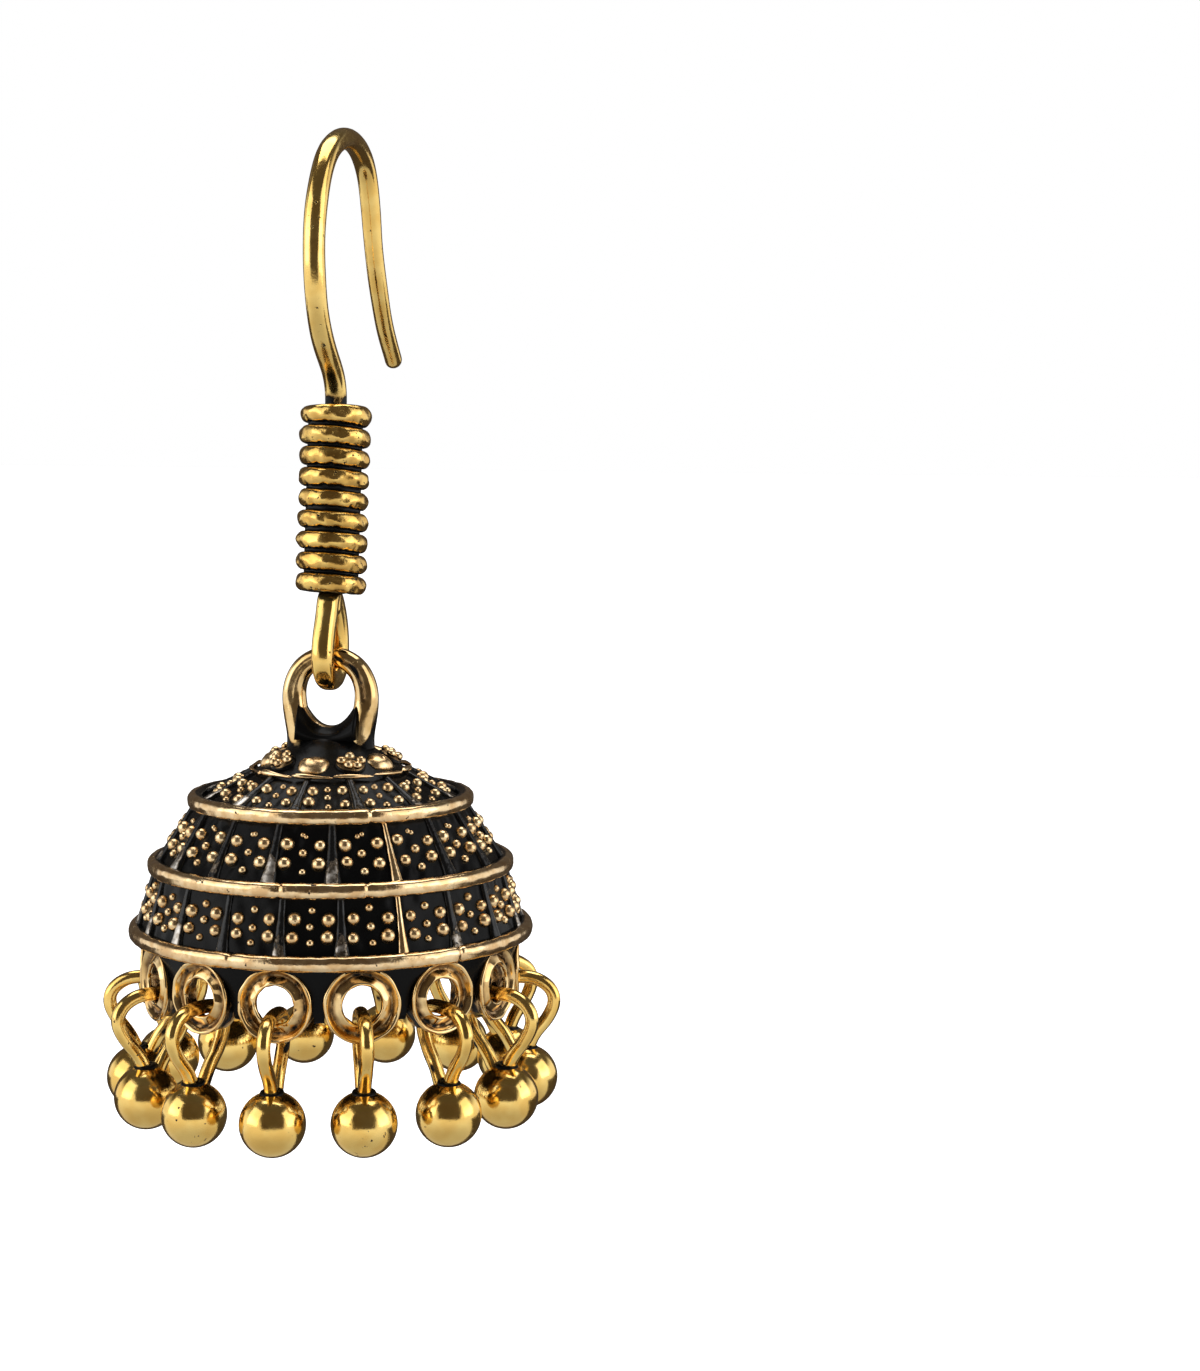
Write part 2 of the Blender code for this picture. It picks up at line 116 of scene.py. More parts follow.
def gridShape(points, gilt=1.0, wrapRows=False):
    # Rows of points that close round, with quads between neighbours; open ends get a fan to a pole
    rows, cols = points.shape[:2]
    flat = points.reshape(-1, 3)
    gilt = np.broadcast_to(gilt, (rows, cols)).astype(float)
    values = gilt.reshape(-1)
    here = np.arange(rows * cols).reshape(rows, cols)
    beside = np.roll(here, -1, axis=1)
    if wrapRows:
        quads = np.stack([here, beside, np.roll(beside, -1, 0), np.roll(here, -1, 0)], axis=-1)
        tris = np.zeros((0, 3), int)
    else:
        quads = np.stack([here[:-1], beside[:-1], beside[1:], here[1:]], axis=-1)
        flat = np.vstack([flat, points[0].mean(0), points[-1].mean(0)])
        values = np.concatenate([values, [gilt[0].mean(), gilt[-1].mean()]])
        first = np.full(cols, rows * cols)
        startFan = np.stack([first, beside[0], here[0]], axis=-1)
        endFan = np.stack([first + 1, here[-1], beside[-1]], axis=-1)
        tris = np.vstack([startFan, endFan])
    return outwards({"points": flat, "quads": quads.reshape(-1, 4), "tris": tris, "gilt": values})


def outwards(shape):
    # Turns every face round when the closed shape's signed volume is negative
    p, q, t = shape["points"], shape["quads"], shape["tris"]
    corners = np.vstack([q[:, [0, 1, 2]], q[:, [0, 2, 3]], t])
    a, b, c = (p[corners[:, k]] for k in range(3))
    if np.einsum("ij,ij->i", a, np.cross(b, c)).sum() < 0:
        shape["quads"] = q[:, ::-1]
        shape["tris"] = t[:, ::-1]
    return shape


def joined(shapes):
    # One shape from several: the face numbers move up by the points before them
    starts = np.cumsum([0] + [len(s["points"]) for s in shapes[:-1]])
    return {
        "points": np.vstack([s["points"] for s in shapes]),
        "quads": np.vstack([s["quads"] + start for s, start in zip(shapes, starts)]),
        "tris": np.vstack([s["tris"] + start for s, start in zip(shapes, starts)]),
        "gilt": np.concatenate([s["gilt"] for s in shapes]),
    }


def copiesOf(shape, origins, axisX, axisY, axisZ):
    # Each copy's point = its origin + x, y and z times its own three axes, whose lengths scale it
    p = shape["points"]
    count, size = len(origins), len(p)
    points = origins[:, None] + p[None, :, :1] * axisX[:, None]
    points = points + p[None, :, 1:2] * axisY[:, None] + p[None, :, 2:] * axisZ[:, None]
    shift = np.arange(count)[:, None, None] * size
    return {
        "points": points.reshape(-1, 3),
        "quads": (shape["quads"][None] + shift).reshape(-1, 4),
        "tris": (shape["tris"][None] + shift).reshape(-1, 3),
        "gilt": np.tile(shape["gilt"], count),
    }


def tube(path, radius, sideways, sides=24, closed=False, square=2.0, roundEnds=(False, False)):
    # A section carried along a flat path. Its axes are the plane's normal and the normal's cross
    # with the tangent; "square" is the power of a superellipse, 2 for a circle.
    radius = np.broadcast_to(np.asarray(radius, float), len(path)).copy()
    if closed:
        tangent = np.roll(path, -1, 0) - np.roll(path, 1, 0)
    else:
        tangent = np.gradient(path, axis=0)
    tangent /= np.linalg.norm(tangent, axis=1, keepdims=True)
    if roundEnds[0]:
        path, radius, tangent = roundEnd(path, radius, tangent, -1)
    if roundEnds[1]:
        path, radius, tangent = roundEnd(path[::-1], radius[::-1], tangent[::-1], 1)
        path, radius, tangent = path[::-1], radius[::-1], tangent[::-1]
    out = np.cross(sideways, tangent)
    angle = roundTurn(sides)
    bulge = superellipse(angle, square)
    ring = np.cos(angle)[None, :, None] * out[:, None] + np.sin(angle)[None, :, None] * sideways
    return path[:, None] + ring * (radius[:, None] * bulge[None])[..., None]


def roundEnd(path, radius, tangent, sign, rows=7):
    # Rows that shrink over a quarter circle past the first point: out by sine, in by cosine
    angle = np.linspace(math.pi / 2, 0, rows, endpoint=False) * 0.98
    extra = path[0] + sign * tangent[0] * (np.sin(angle) * radius[0])[:, None]
    return (np.vstack([extra, path]), np.concatenate([radius[0] * np.cos(angle), radius]),
            np.vstack([np.repeat(tangent[:1], rows, 0), tangent]))


def outFrom(angle):
    # The level direction away from the bell's axis at an angle in radians
    angle = np.asarray(angle, float)
    return np.stack([np.sin(angle), -np.cos(angle), np.zeros_like(angle)], axis=-1)


def roundFrom(angle):
    # The level direction along the bell's rim at an angle in radians
    angle = np.asarray(angle, float)
    return np.stack([np.cos(angle), np.sin(angle), np.zeros_like(angle)], axis=-1)


def putPiece(name, shape, material, body, standsFor=()):
    # The arrays go into a mesh as they are, and the piece rides on its CAD body
    mesh = bpy.data.meshes.new(name)
    corners = np.concatenate([shape["quads"].ravel(), shape["tris"].ravel()]).astype(np.int32)
    sizes = np.concatenate([np.full(len(shape["quads"]), 4), np.full(len(shape["tris"]), 3)])
    starts = np.concatenate([[0], np.cumsum(sizes)[:-1]]).astype(np.int32)
    mesh.vertices.add(len(shape["points"]))
    mesh.vertices.foreach_set("co", (shape["points"] * mm).astype(np.float32).ravel())
    mesh.loops.add(len(corners))
    mesh.loops.foreach_set("vertex_index", corners)
    mesh.polygons.add(len(sizes))
    mesh.polygons.foreach_set("loop_start", starts)
    mesh.update(calc_edges=True)
    mesh.polygons.foreach_set("use_smooth", np.ones(len(sizes), bool))
    gilt = mesh.attributes.new("gilt", "FLOAT", "POINT")
    gilt.data.foreach_set("value", shape["gilt"].astype(np.float32))
    mesh.materials.append(material)
    piece = bpy.data.objects.new(name, mesh)
    bpy.context.scene.collection.objects.link(piece)
    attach(piece, body)
    if standsFor:
        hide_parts(*standsFor)
    return piece


# Finishes

def feed(tree, socket, value):
    # A socket takes a link from another node, or else a plain value
    if isinstance(value, bpy.types.NodeSocket):
        tree.links.new(value, socket)
    else:
        socket.default_value = value


def addNode(tree, kind, settings=None, **sockets):
    # Each socket gets its value or link; an underscore in its name stands for a blank
    made = tree.nodes.new(kind)
    for key, value in (settings or {}).items():
        setattr(made, key, value)
    for key, value in sockets.items():
        feed(tree, made.inputs[key.replace("_", " ")], value)
    return made


def mixColors(tree, factor, first, second):
    # first where factor is 0, second where it is 1, and an even blend between
    made = addNode(tree, "ShaderNodeMix", {"data_type": "RGBA"})
    for number, value in zip((0, 6, 7), (factor, first, second)):
        feed(tree, made.inputs[number], value)
    return made.outputs[2]


def mapped(tree, value, low, high, toLow=0.0, toHigh=1.0):
    # A smooth step from toLow to toHigh while value goes from low to high
    made = addNode(tree, "ShaderNodeMapRange", {"interpolation_type": "SMOOTHSTEP"}, Value=value,
                   From_Min=low, From_Max=high, To_Min=toLow, To_Max=toHigh)
    return made.outputs["Result"]


def sums(tree, operation, first, second):
    # first and second put together by the named operation
    made = addNode(tree, "ShaderNodeMath", {"operation": operation})
    for socket, value in zip(made.inputs, (first, second)):
        feed(tree, socket, value)
    return made.outputs[0]


def awayFromHalf(tree, value, amount):
    # How far value lies from 0.5, times amount
    return sums(tree, "MULTIPLY", sums(tree, "SUBTRACT", value, 0.5), amount)


def noise(tree, place, size, detail=3.0, roughness=0.55):
    # Noise whose lumps are about "size" millimetres across
    made = addNode(tree, "ShaderNodeTexNoise", None, Vector=place, Scale=1 / (size * mm),
                   Detail=detail, Roughness=roughness)
    return made.outputs["Fac"]


goldLooks = {
    "polished": {"clean": (0.97, 0.68, 0.22, 1), "deep": (0.88, 0.56, 0.15, 1),
                 "tarnish": (0.26, 0.15, 0.05, 1), "patina": (0.004, 0.004, 0.004, 1), "patinaShine": 0.12,
                 "goldRough": 0.13, "patinaRough": 0.34, "uneven": 0.5, "pitSize": 0.42,
                 "pitLevel": 0.70, "dentSize": 1.6, "dent": 0.03, "grain": 0.004},
    "worn": {"clean": (0.92, 0.61, 0.18, 1), "deep": (0.68, 0.40, 0.10, 1),
             "tarnish": (0.18, 0.10, 0.03, 1), "patina": (0.004, 0.004, 0.004, 1), "patinaShine": 0.15,
             "goldRough": 0.16, "patinaRough": 0.36, "uneven": 0.7, "pitSize": 0.34,
             "pitLevel": 0.65, "dentSize": 0.9, "dent": 0.06, "grain": 0.008},
    "cast": {"clean": (0.94, 0.70, 0.40, 1), "deep": (0.74, 0.48, 0.23, 1),
             "tarnish": (0.20, 0.12, 0.05, 1), "patina": (0.003, 0.003, 0.003, 1), "patinaShine": 0.08,
             "goldRough": 0.15, "patinaRough": 0.26, "uneven": 0.6, "pitSize": 0.36,
             "pitLevel": 0.68, "dentSize": 0.8, "dent": 0.02, "grain": 0.004},
    "dome": {"clean": (0.95, 0.71, 0.40, 1), "deep": (0.80, 0.53, 0.26, 1),
             "tarnish": (0.20, 0.12, 0.05, 1), "patina": (0.003, 0.003, 0.003, 1), "patinaShine": 0.1,
             "goldRough": 0.25, "patinaRough": 0.26, "uneven": 0.45, "pitSize": 0.36,
             "pitLevel": 0.71, "dentSize": 0.8, "dent": 0.02, "grain": 0.004},
    "loop": {"clean": (0.90, 0.65, 0.32, 1), "deep": (0.72, 0.46, 0.18, 1),
             "tarnish": (0.26, 0.15, 0.06, 1), "patina": (0.003, 0.003, 0.003, 1), "patinaShine": 0.1,
             "goldRough": 0.12, "patinaRough": 0.26, "uneven": 0.35, "pitSize": 0.40,
             "pitLevel": 0.71, "dentSize": 1.2, "dent": 0.02, "grain": 0.002},
    # pale grey metal for the rib feet: a painted highlight standing for the shine on black patina
    "paintedSheen": {"clean": (0.66, 0.62, 0.57, 1), "deep": (0.40, 0.36, 0.31, 1),
               "tarnish": (0.12, 0.09, 0.06, 1), "patina": (0.004, 0.004, 0.004, 1), "patinaShine": 0.3,
               "goldRough": 0.3, "patinaRough": 0.22, "uneven": 1.2, "pitSize": 0.36,
               "pitLevel": 0.68, "dentSize": 0.5, "dent": 0.05, "grain": 0.006},
}
# Shared by all: noise sizes in millimetres, and the gilt values between which gold comes through
finish = {"edgeSize": 0.5, "spreadSize": 2.8, "grainSize": 0.09, "cluster": 0.25, "pitSoft": 0.035,
          "bareFrom": 0.30, "bareTo": 0.40, "tarnishFrom": 0.34, "tarnishTo": 0.72, "goldStep": 0.03}


def agedGold(name):
    # Gold where the gilt attribute is high, tarnish at its edge and black patina where it is low;
    # noise shifts the edge, and small pits keep their patina
    look = goldLooks[name]
    material = bpy.data.materials.new("aged_gold_" + name)
    material.use_nodes = True
    tree = material.node_tree
    shader = tree.nodes["Principled BSDF"]
    place = addNode(tree, "ShaderNodeTexCoord").outputs["Object"]
    gilt = addNode(tree, "ShaderNodeAttribute", {"attribute_name": "gilt"}).outputs["Fac"]
    lumps = noise(tree, place, look["dentSize"], 2.0)
    edge = noise(tree, place, finish["edgeSize"], 5.0, 0.62)
    pits = noise(tree, place, look["pitSize"], 3.0, 0.6)
    spread = noise(tree, place, finish["spreadSize"], 2.0)
    fineGrain = noise(tree, place, finish["grainSize"], 3.0, 0.6)
    shifted = sums(tree, "ADD", gilt, awayFromHalf(tree, edge, look["uneven"]))
    clustered = sums(tree, "ADD", pits, awayFromHalf(tree, spread, finish["cluster"]))
    pitted = mapped(tree, clustered, look["pitLevel"], look["pitLevel"] + finish["pitSoft"])
    gold = mapped(tree, shifted, finish["bareFrom"], finish["bareTo"])
    bare = sums(tree, "MULTIPLY", gold, sums(tree, "SUBTRACT", 1.0, pitted))
    tone = mixColors(tree, mapped(tree, lumps, 0.35, 0.65), look["deep"], look["clean"])
    cleaner = mapped(tree, shifted, finish["tarnishFrom"], finish["tarnishTo"])
    tone = mixColors(tree, cleaner, look["tarnish"], tone)
    color = mixColors(tree, bare, look["patina"], tone)
    polish = mapped(tree, edge, 0.3, 0.75, look["goldRough"] * 0.75, look["goldRough"] * 1.5)
    rough = sums(tree, "ADD", sums(tree, "MULTIPLY", bare, polish),
                 sums(tree, "MULTIPLY", sums(tree, "SUBTRACT", 1.0, bare), look["patinaRough"]))
    height = sums(tree, "ADD", sums(tree, "MULTIPLY", lumps, look["dent"]),
                  sums(tree, "MULTIPLY", fineGrain, look["grain"]))
    height = sums(tree, "ADD", height, sums(tree, "MULTIPLY", bare, finish["goldStep"]))
    bump = addNode(tree, "ShaderNodeBump", None, Strength=1.0, Distance=mm, Height=height)
    shader.inputs["Specular IOR Level"].default_value = look["patinaShine"]
    tree.links.new(color, shader.inputs["Base Color"])
    tree.links.new(bare, shader.inputs["Metallic"])
    tree.links.new(rough, shader.inputs["Roughness"])
    tree.links.new(bump.outputs["Normal"], shader.inputs["Normal"])
    return material


polishedGold = agedGold("polished")
wornGold = agedGold("worn")
castGold = agedGold("cast")
domeGold = agedGold("dome")
loopGold = agedGold("loop")
# pale grey finish that carries the ribs' painted highlight
paintedSheenPatina = agedGold("paintedSheen")
print("finishes made")


# Ear wire: the hook, its shank through the sleeve, and the eye below

wire = {"thick": 1.25, "tipThick": 1.06, "frontReach": 6.3, "sleeveTopDrop": 15.4, "shankOffset": 2.2,
        "tipReach": 9.95, "tipDrop": 12.7, "lean": 7.0, "sleeveLength": 9 * 1.212, "gap": 0.2,
        "eyeThick": 1.24, "eyeWidth": 3.1, "eyeHeight": 4.15, "step": 0.16, "sides": 28,
        "darkFrom": 1.5, "dark": 0.75}
# Shares of the reach and drop, as (reach, drop) down the front leg and down the open back leg
frontLeg = [(0.445, 0.045), (0.735, 0.138), (0.94, 0.286), (1.0, 0.455), (0.955, 0.605),
            (0.82, 0.715), (0.65, 0.80), (0.45, 0.875), (0.355, 0.94)]
backLeg = [(0.26, 0.035), (0.43, 0.13), (0.51, 0.295), (0.575, 0.475), (0.67, 0.66),
           (0.815, 0.845), (1.0, 1.0)]
# Shares of half the eye's width and of its height, round from its start under the sleeve
eyeLoop = [(-0.16, -0.17), (-0.42, 0.08), (-0.80, 0.36), (-1.0, 0.66), (-0.70, 0.91), (0.0, 1.0),
           (0.70, 0.91), (1.0, 0.66), (0.98, 0.38), (0.72, 0.10), (0.22, -0.17)]
archTop = np.array([0.0, 0.0, wire["thick"] / 2])
lean = math.radians(wire["lean"])
shankDown = np.array([0.0, -math.sin(lean), -math.cos(lean)])
sleeveTop = archTop + [0, -wire["shankOffset"], -wire["sleeveTopDrop"]]
sleeveBase = sleeveTop + shankDown * wire["sleeveLength"]
eyeNeck = sleeveBase + shankDown * (wire["thick"] / 2 + wire["gap"])
bellAxis = np.array([0.0, eyeNeck[1], 0.0])
pivotHeight = eyeNeck[2] - wire["eyeHeight"]


def makeEarWire():
    # A round wire whose radius shrinks evenly along the back leg, and a squarer one round the eye
    front = [archTop + [0, -reach * wire["frontReach"], -drop * wire["sleeveTopDrop"]]
             for reach, drop in frontLeg]
    back = [archTop + [0, reach * wire["tipReach"], -drop * wire["tipDrop"]] for reach, drop in backLeg]
    route = smoothRoute(back[::-1] + [archTop] + front + [sleeveTop, (sleeveTop + sleeveBase) / 2,
                                                          sleeveBase, eyeNeck], 16)
    route = softened(evenRoute(route, wire["step"]), 24)
    along = np.linspace(0, 1, len(route))
    radius = wire["tipThick"] + (wire["thick"] - wire["tipThick"]) * smoothStep(0.0, 0.4, along)
    sideways = np.array([1.0, 0, 0])
    points = tube(route, radius / 2, sideways, wire["sides"], square=2.15, roundEnds=(True, True))
    rows = np.linspace(0, 1, len(points))[:, None]
    columns = roundTurn(wire["sides"])[None]
    points[..., 0] += 0.012 * ripple(columns, rows, 6, (0, 2), (30, 120), 3)
    # the shank darkens where it nears the sleeve and stays dark inside it; the back leg is bright
    height = points[..., 2]
    nearing = smoothStep(sleeveTop[2] + wire["darkFrom"], sleeveTop[2] + 0.1, height)
    dark = nearing * smoothStep(sleeveBase[2] - 0.1, sleeveBase[2], height)
    dark = np.where(points[..., 1] > 1.0, 0.0, dark)
    gilt = 1.0 - wire["dark"] * dark + 0.1 * ripple(columns, rows, 5, (1, 3), (40, 160), 4)
    hook = gridShape(points, gilt)
    ring = [eyeNeck + [0, across * wire["eyeWidth"] / 2, -drop * wire["eyeHeight"]]
            for across, drop in eyeLoop]
    loop = softened(evenRoute(smoothRoute(ring, 14, True), wire["step"], True), 10, True)
    eyePoints = tube(loop, wire["eyeThick"] / 2, sideways, wire["sides"], True, 2.6)
    eye = gridShape(eyePoints, 1.0, wrapRows=True)
    return putPiece("earWire", joined([hook, eye]), polishedGold, "ear_wire", ["ear_wire"])


makeEarWire()
print("ear wire made")


# Ribbed sleeve: nine dented rings with black grooves

sleeve = {"outer": 2.03, "ribs": 9, "pitch": 1.212, "groove": 0.42, "bore": 0.80, "beadShare": 0.43,
          "slant": 2.9, "topSlant": -1.0, "beadRows": 13, "columns": 160, "dent": 0.035, "edge": 0.05}


def makeCoilSleeve():
    # For each ring, an angle from -90 to 90 runs down its round face: the radius falls with
    # 1 - cosine and the height follows sine; heights also tilt with x by the ring's slant
    around = roundTurn(sleeve["columns"])
    face = np.radians(np.linspace(-90, 90, sleeve["beadRows"]))[:, None]
    radii, drops, gilts = [], [], []
    for rib in range(sleeve["ribs"]):
        draw = np.random.default_rng(40 + rib)
        outer = sleeve["outer"] + draw.uniform(-0.03, 0.03)
        uneven = sleeve["edge"] * ripple(around, 0 * around, 7, (5, 26), (0, 0), 60 + rib)
        dents = ripple(around, 2.2 * face, 9, (2, 13), (0.4, 2.0), 80 + rib)
        half = sleeve["beadShare"] * sleeve["pitch"] * (1 + 0.04 * np.sin(around + rib))
        half = half - np.maximum(uneven, 0) * (face > 0)
        radius = outer - sleeve["groove"] * (1 - np.cos(face) ** 0.85) + sleeve["dent"] * dents * np.cos(face)
        slant = np.radians(sleeve["slant"])
        if rib == 0:
            gain = (sleeve["slant"] - sleeve["topSlant"]) * (face + 1.57) / 3.14
            slant = np.radians(sleeve["topSlant"] + gain)
        drop = (rib + 0.5) * sleeve["pitch"] + half * np.sin(face) + radius * np.sin(around) * np.tan(slant)
        darkEdge = 0.9 * smoothStep(0.80, 1.0, np.abs(np.sin(face)))
        radii.append(radius)
        drops.append(drop)
        gilts.append(1.05 - darkEdge - 0.12 * np.abs(dents) + 0 * drop)
        if rib < sleeve["ribs"] - 1:
            floor = np.full_like(radius[:1], sleeve["outer"] - sleeve["groove"] - 0.03)
            tilt = floor * np.sin(around) * np.tan(np.radians(sleeve["slant"]))
            for share in (0.93, 1.07):
                radii.append(floor)
                drops.append((rib + share) * sleeve["pitch"] + tilt)
                gilts.append(np.zeros_like(floor))
    # end faces run in to the bore, sunk a little at the top, and the bore closes the shape; each
    # row is a radius, a drop and a gilt value
    length = sleeve["ribs"] * sleeve["pitch"]
    bore = sleeve["bore"]
    level = np.ones(sleeve["columns"])
    first = np.array([(bore, length - 0.3, 0), (bore, 0.42, 0), (1.35, 0.30, 0.1)])[..., None] * level
    last = np.array([(1.30, length - 0.12, 0.3), (bore, length - 0.12, 0)])[..., None] * level
    allRadius = np.vstack([first[:, 0], *radii, last[:, 0]])
    allDrop = np.vstack([first[:, 1], *drops, last[:, 1]])
    allGilt = np.vstack([first[:, 2], *gilts, last[:, 2]])
    local = np.stack([allRadius * np.sin(around), -allRadius * np.cos(around), -allDrop], axis=-1)
    front = np.array([0.0, -math.cos(lean), math.sin(lean)])
    points = sleeveTop + local[..., :1] * [1.0, 0, 0] - local[..., 1:2] * front - local[..., 2:] * shankDown
    shape = gridShape(points, allGilt, wrapRows=True)
    return putPiece("coilSleeve", shape, wornGold, "ear_wire", ["coil_sleeve"])


makeCoilSleeve()
print("sleeve made")


# Bell: heights run down from the crown, in shares of the radius and height

bell = {"radius": 11.72, "height": 15.0, "wall": 1.0, "rimThick": 0.90, "ridgeThick": 0.28, "inset": 0.16,
        "crownWall": 1.3, "mouthShare": 0.894, "bailRise": 4.25, "bailWire": 1.2, "linkGap": 0.2,
        "columns": 700, "bandRows": 12, "panelDip": 0.09, "lumpOut": 0.025, "lumpUp": 0.012,
        "insideGilt": 0.3}
crownCurve = [(0.0, 0.0), (0.10, 0.020), (0.17, 0.048), (0.225, 0.078)]
# Each ring's place in shares of the bell, how many panels lie above it, and where the first starts
ringTable = [
    {"radius": 0.399, "drop": 0.150, "thick": bell["ridgeThick"], "panels": 0, "first": 0.0},
    {"radius": 0.7065, "drop": 0.2673, "thick": bell["rimThick"], "panels": 12, "first": 0.0},
    {"radius": 0.905, "drop": 0.5153, "thick": bell["rimThick"], "panels": 17, "first": 17.3},
    {"radius": 1.0, "drop": 0.770, "thick": bell["rimThick"], "panels": 20, "first": 1.75},
]
bailTop = pivotHeight + 0.6 + bell["linkGap"] + bell["bailWire"] / 2
crownTop = bailTop - bell["bailRise"]
eyelet = {"count": 14, "outer": 2.08, "bore": 1.38, "lip": 1.06, "length": 1.3, "step": 0.82, "overlap": 0.1,
          "sides": 64}
eyeletRadius = bell["radius"] - eyelet["step"] - eyelet["length"] / 2


def bellPlace(radiusShare, dropShare):
    # Radius and height in millimetres: the share of the radius out, the share of the height down
    return np.array([radiusShare * bell["radius"], crownTop - dropShare * bell["height"]])


ringCentres = [bellPlace(row["radius"], row["drop"]) - [row["thick"] / 2, 0] for row in ringTable]
mouth = bellPlace(bell["mouthShare"], 1.0)
bandEnds = [bellPlace(*crownCurve[-1])] + ringCentres + [mouth]
bands = list(zip(bandEnds[:-1], bandEnds[1:]))
eyeletHeight = ringCentres[-1][1] - bell["rimThick"] / 2 - eyelet["outer"] + eyelet["overlap"]


def normalOf(band):
    # Square to a band's line in the radius and height plane, pointing out
    down = (band[1] - band[0]) / np.linalg.norm(band[1] - band[0])
    return np.array([-down[1], down[0]])


def onBell(radius, height, angle):
    # The place at a radius, height and angle round the bell's axis
    return bellAxis + outFrom(angle) * np.asarray(radius)[..., None] + np.asarray(height)[..., None] * up


def turned(direction, angle):
    # A direction in the radius and height plane: its first part out at the angle, its second up
    return outFrom(angle) * direction[0] + up * direction[1]


def makeBellShell():
    # Profile rows turned round the axis: the crown and bands, the skirt down to a lower edge that
    # steps over each eyelet, and the inside back up
    angle = roundTurn(bell["columns"])
    crown = np.array([bellPlace(*row) for row in crownCurve])
    crownFine = smoothRoute(np.column_stack([crown, np.zeros(len(crown))]), 5)[1:, :2]
    corners = [crownFine[-1]]
    for first, second in zip(bands[:-1], bands[1:]):
        normal = normalOf(first) + normalOf(second)
        corners.append(first[1] - normal / np.linalg.norm(normal) * bell["inset"])
    rows = [crownFine]
    panelDip = [np.zeros((len(crownFine), bell["columns"]))]
    share = np.linspace(0, 1, bell["bandRows"] + 1)[1:]
    for index, (start, end) in enumerate(zip(corners[:-1], corners[1:])):
        rows.append(start + (end - start) * share[:, None])
        count = ringTable[index]["panels"]
        if count:
            phase = (angle - math.radians(ringTable[index]["first"])) * count
            hollow = 0.5 - 0.5 * np.cos(phase)
        else:
            hollow = np.zeros_like(angle)
        panelDip.append(np.sin(share * math.pi)[:, None] * hollow[None] * bell["panelDip"])
    profile = np.vstack(rows)
    dip = np.vstack(panelDip)
    # the lumps run along the profile by its length, and fade towards the crown
    along = np.concatenate([[0.0], np.cumsum(np.linalg.norm(np.diff(profile, axis=0), axis=1))])
    lumps = ripple(angle[None], along[:, None], 16, (8, 60), (1.0, 6.0), 11)
    fade = smoothStep(0.3, 0.75, profile[:, :1] / bell["radius"])
    radius = profile[:, :1] - dip + bell["lumpOut"] * lumps * fade
    height = profile[:, 1:] + bell["lumpUp"] * lumps * fade
    # the skirt's lower edge: the mouth between eyelets, and each eyelet's upper outline over it
    spacing = turn / eyelet["count"]
    across = ((angle + spacing / 2) % spacing - spacing / 2) * eyeletRadius
    hidden = eyelet["outer"] - 0.09
    over = eyeletHeight + np.sqrt(np.maximum(hidden ** 2 - across ** 2, 0))
    lower = np.where(np.abs(across) < hidden, over, mouth[1])
    lastRadius, lastHeight = profile[-1]
    down = np.linspace(0, 1, 11)[1:, None]
    skirtHeight = lastHeight + (lower[None] - lastHeight) * down
    slope = (mouth[0] - bell["inset"] - lastRadius) / (mouth[1] - lastHeight)
    skirtRadius = lastRadius + (skirtHeight - lastHeight) * slope
    wall = bell["wall"]
    lipRadius = np.vstack([skirtRadius[-1:] - wall * part for part in (0.15, 0.5, 0.85)])
    lipHeight = np.vstack([skirtHeight[-1:] - bulge for bulge in (0.08, 0.12, 0.08)])
    insideRadius = skirtRadius[::-1] - wall
    insideHeight = skirtHeight[::-1]
    inner = []
    for first, second in zip(bands[:-1][::-1], bands[1:][::-1]):
        normal = normalOf(first) + normalOf(second)
        inner.append(first[1] - normal / np.linalg.norm(normal) * (bell["inset"] + wall))
    inner = inner[:-1]
    inner.append(bellPlace(*crownCurve[-1]) - [0, bell["crownWall"]])
    inner.append(np.array([0.4, inner[-1][1] + 0.1]))
    innerFine = evenRoute(np.column_stack([np.array(inner), np.zeros(len(inner))]), 0.5)[:, :2]
    ones = np.ones((1, bell["columns"]))
    allRadius = np.vstack([radius, skirtRadius, lipRadius, insideRadius, innerFine[:, :1] * ones])
    allHeight = np.vstack([height, skirtHeight, lipHeight, insideHeight, innerFine[:, 1:] * ones])
    gilt = np.zeros_like(allRadius)
    gilt[len(radius) + len(skirtRadius) + len(lipRadius):] = bell["insideGilt"]
    points = onBell(allRadius, allHeight, angle[None] + 0 * allRadius)
    return putPiece("bellShell", gridShape(points, gilt), castGold, "bell", ["bell"])


rim = {"columns": 720, "sides": 22, "square": 2.7, "wave": 0.02, "dent": 0.009, "seamDepth": 0.12,
       "seamWidth": 0.12, "seamCut": 0.7, "seamDark": 1.5}
# Seams and casting marks: which ring, the angle, and the depth in shares of the seam's
rimMarks = [(1, 33.0, 1.0), (2, 1.0, 0.8), (2, 28.0, 1.0), (3, -12.0, 0.7), (3, 55.0, 1.2),
            (1, -120.0, 1.0), (2, 165.0, 1.0), (3, 140.0, 1.0), (2, -70.0, 0.8), (3, -95.0, 0.8)]


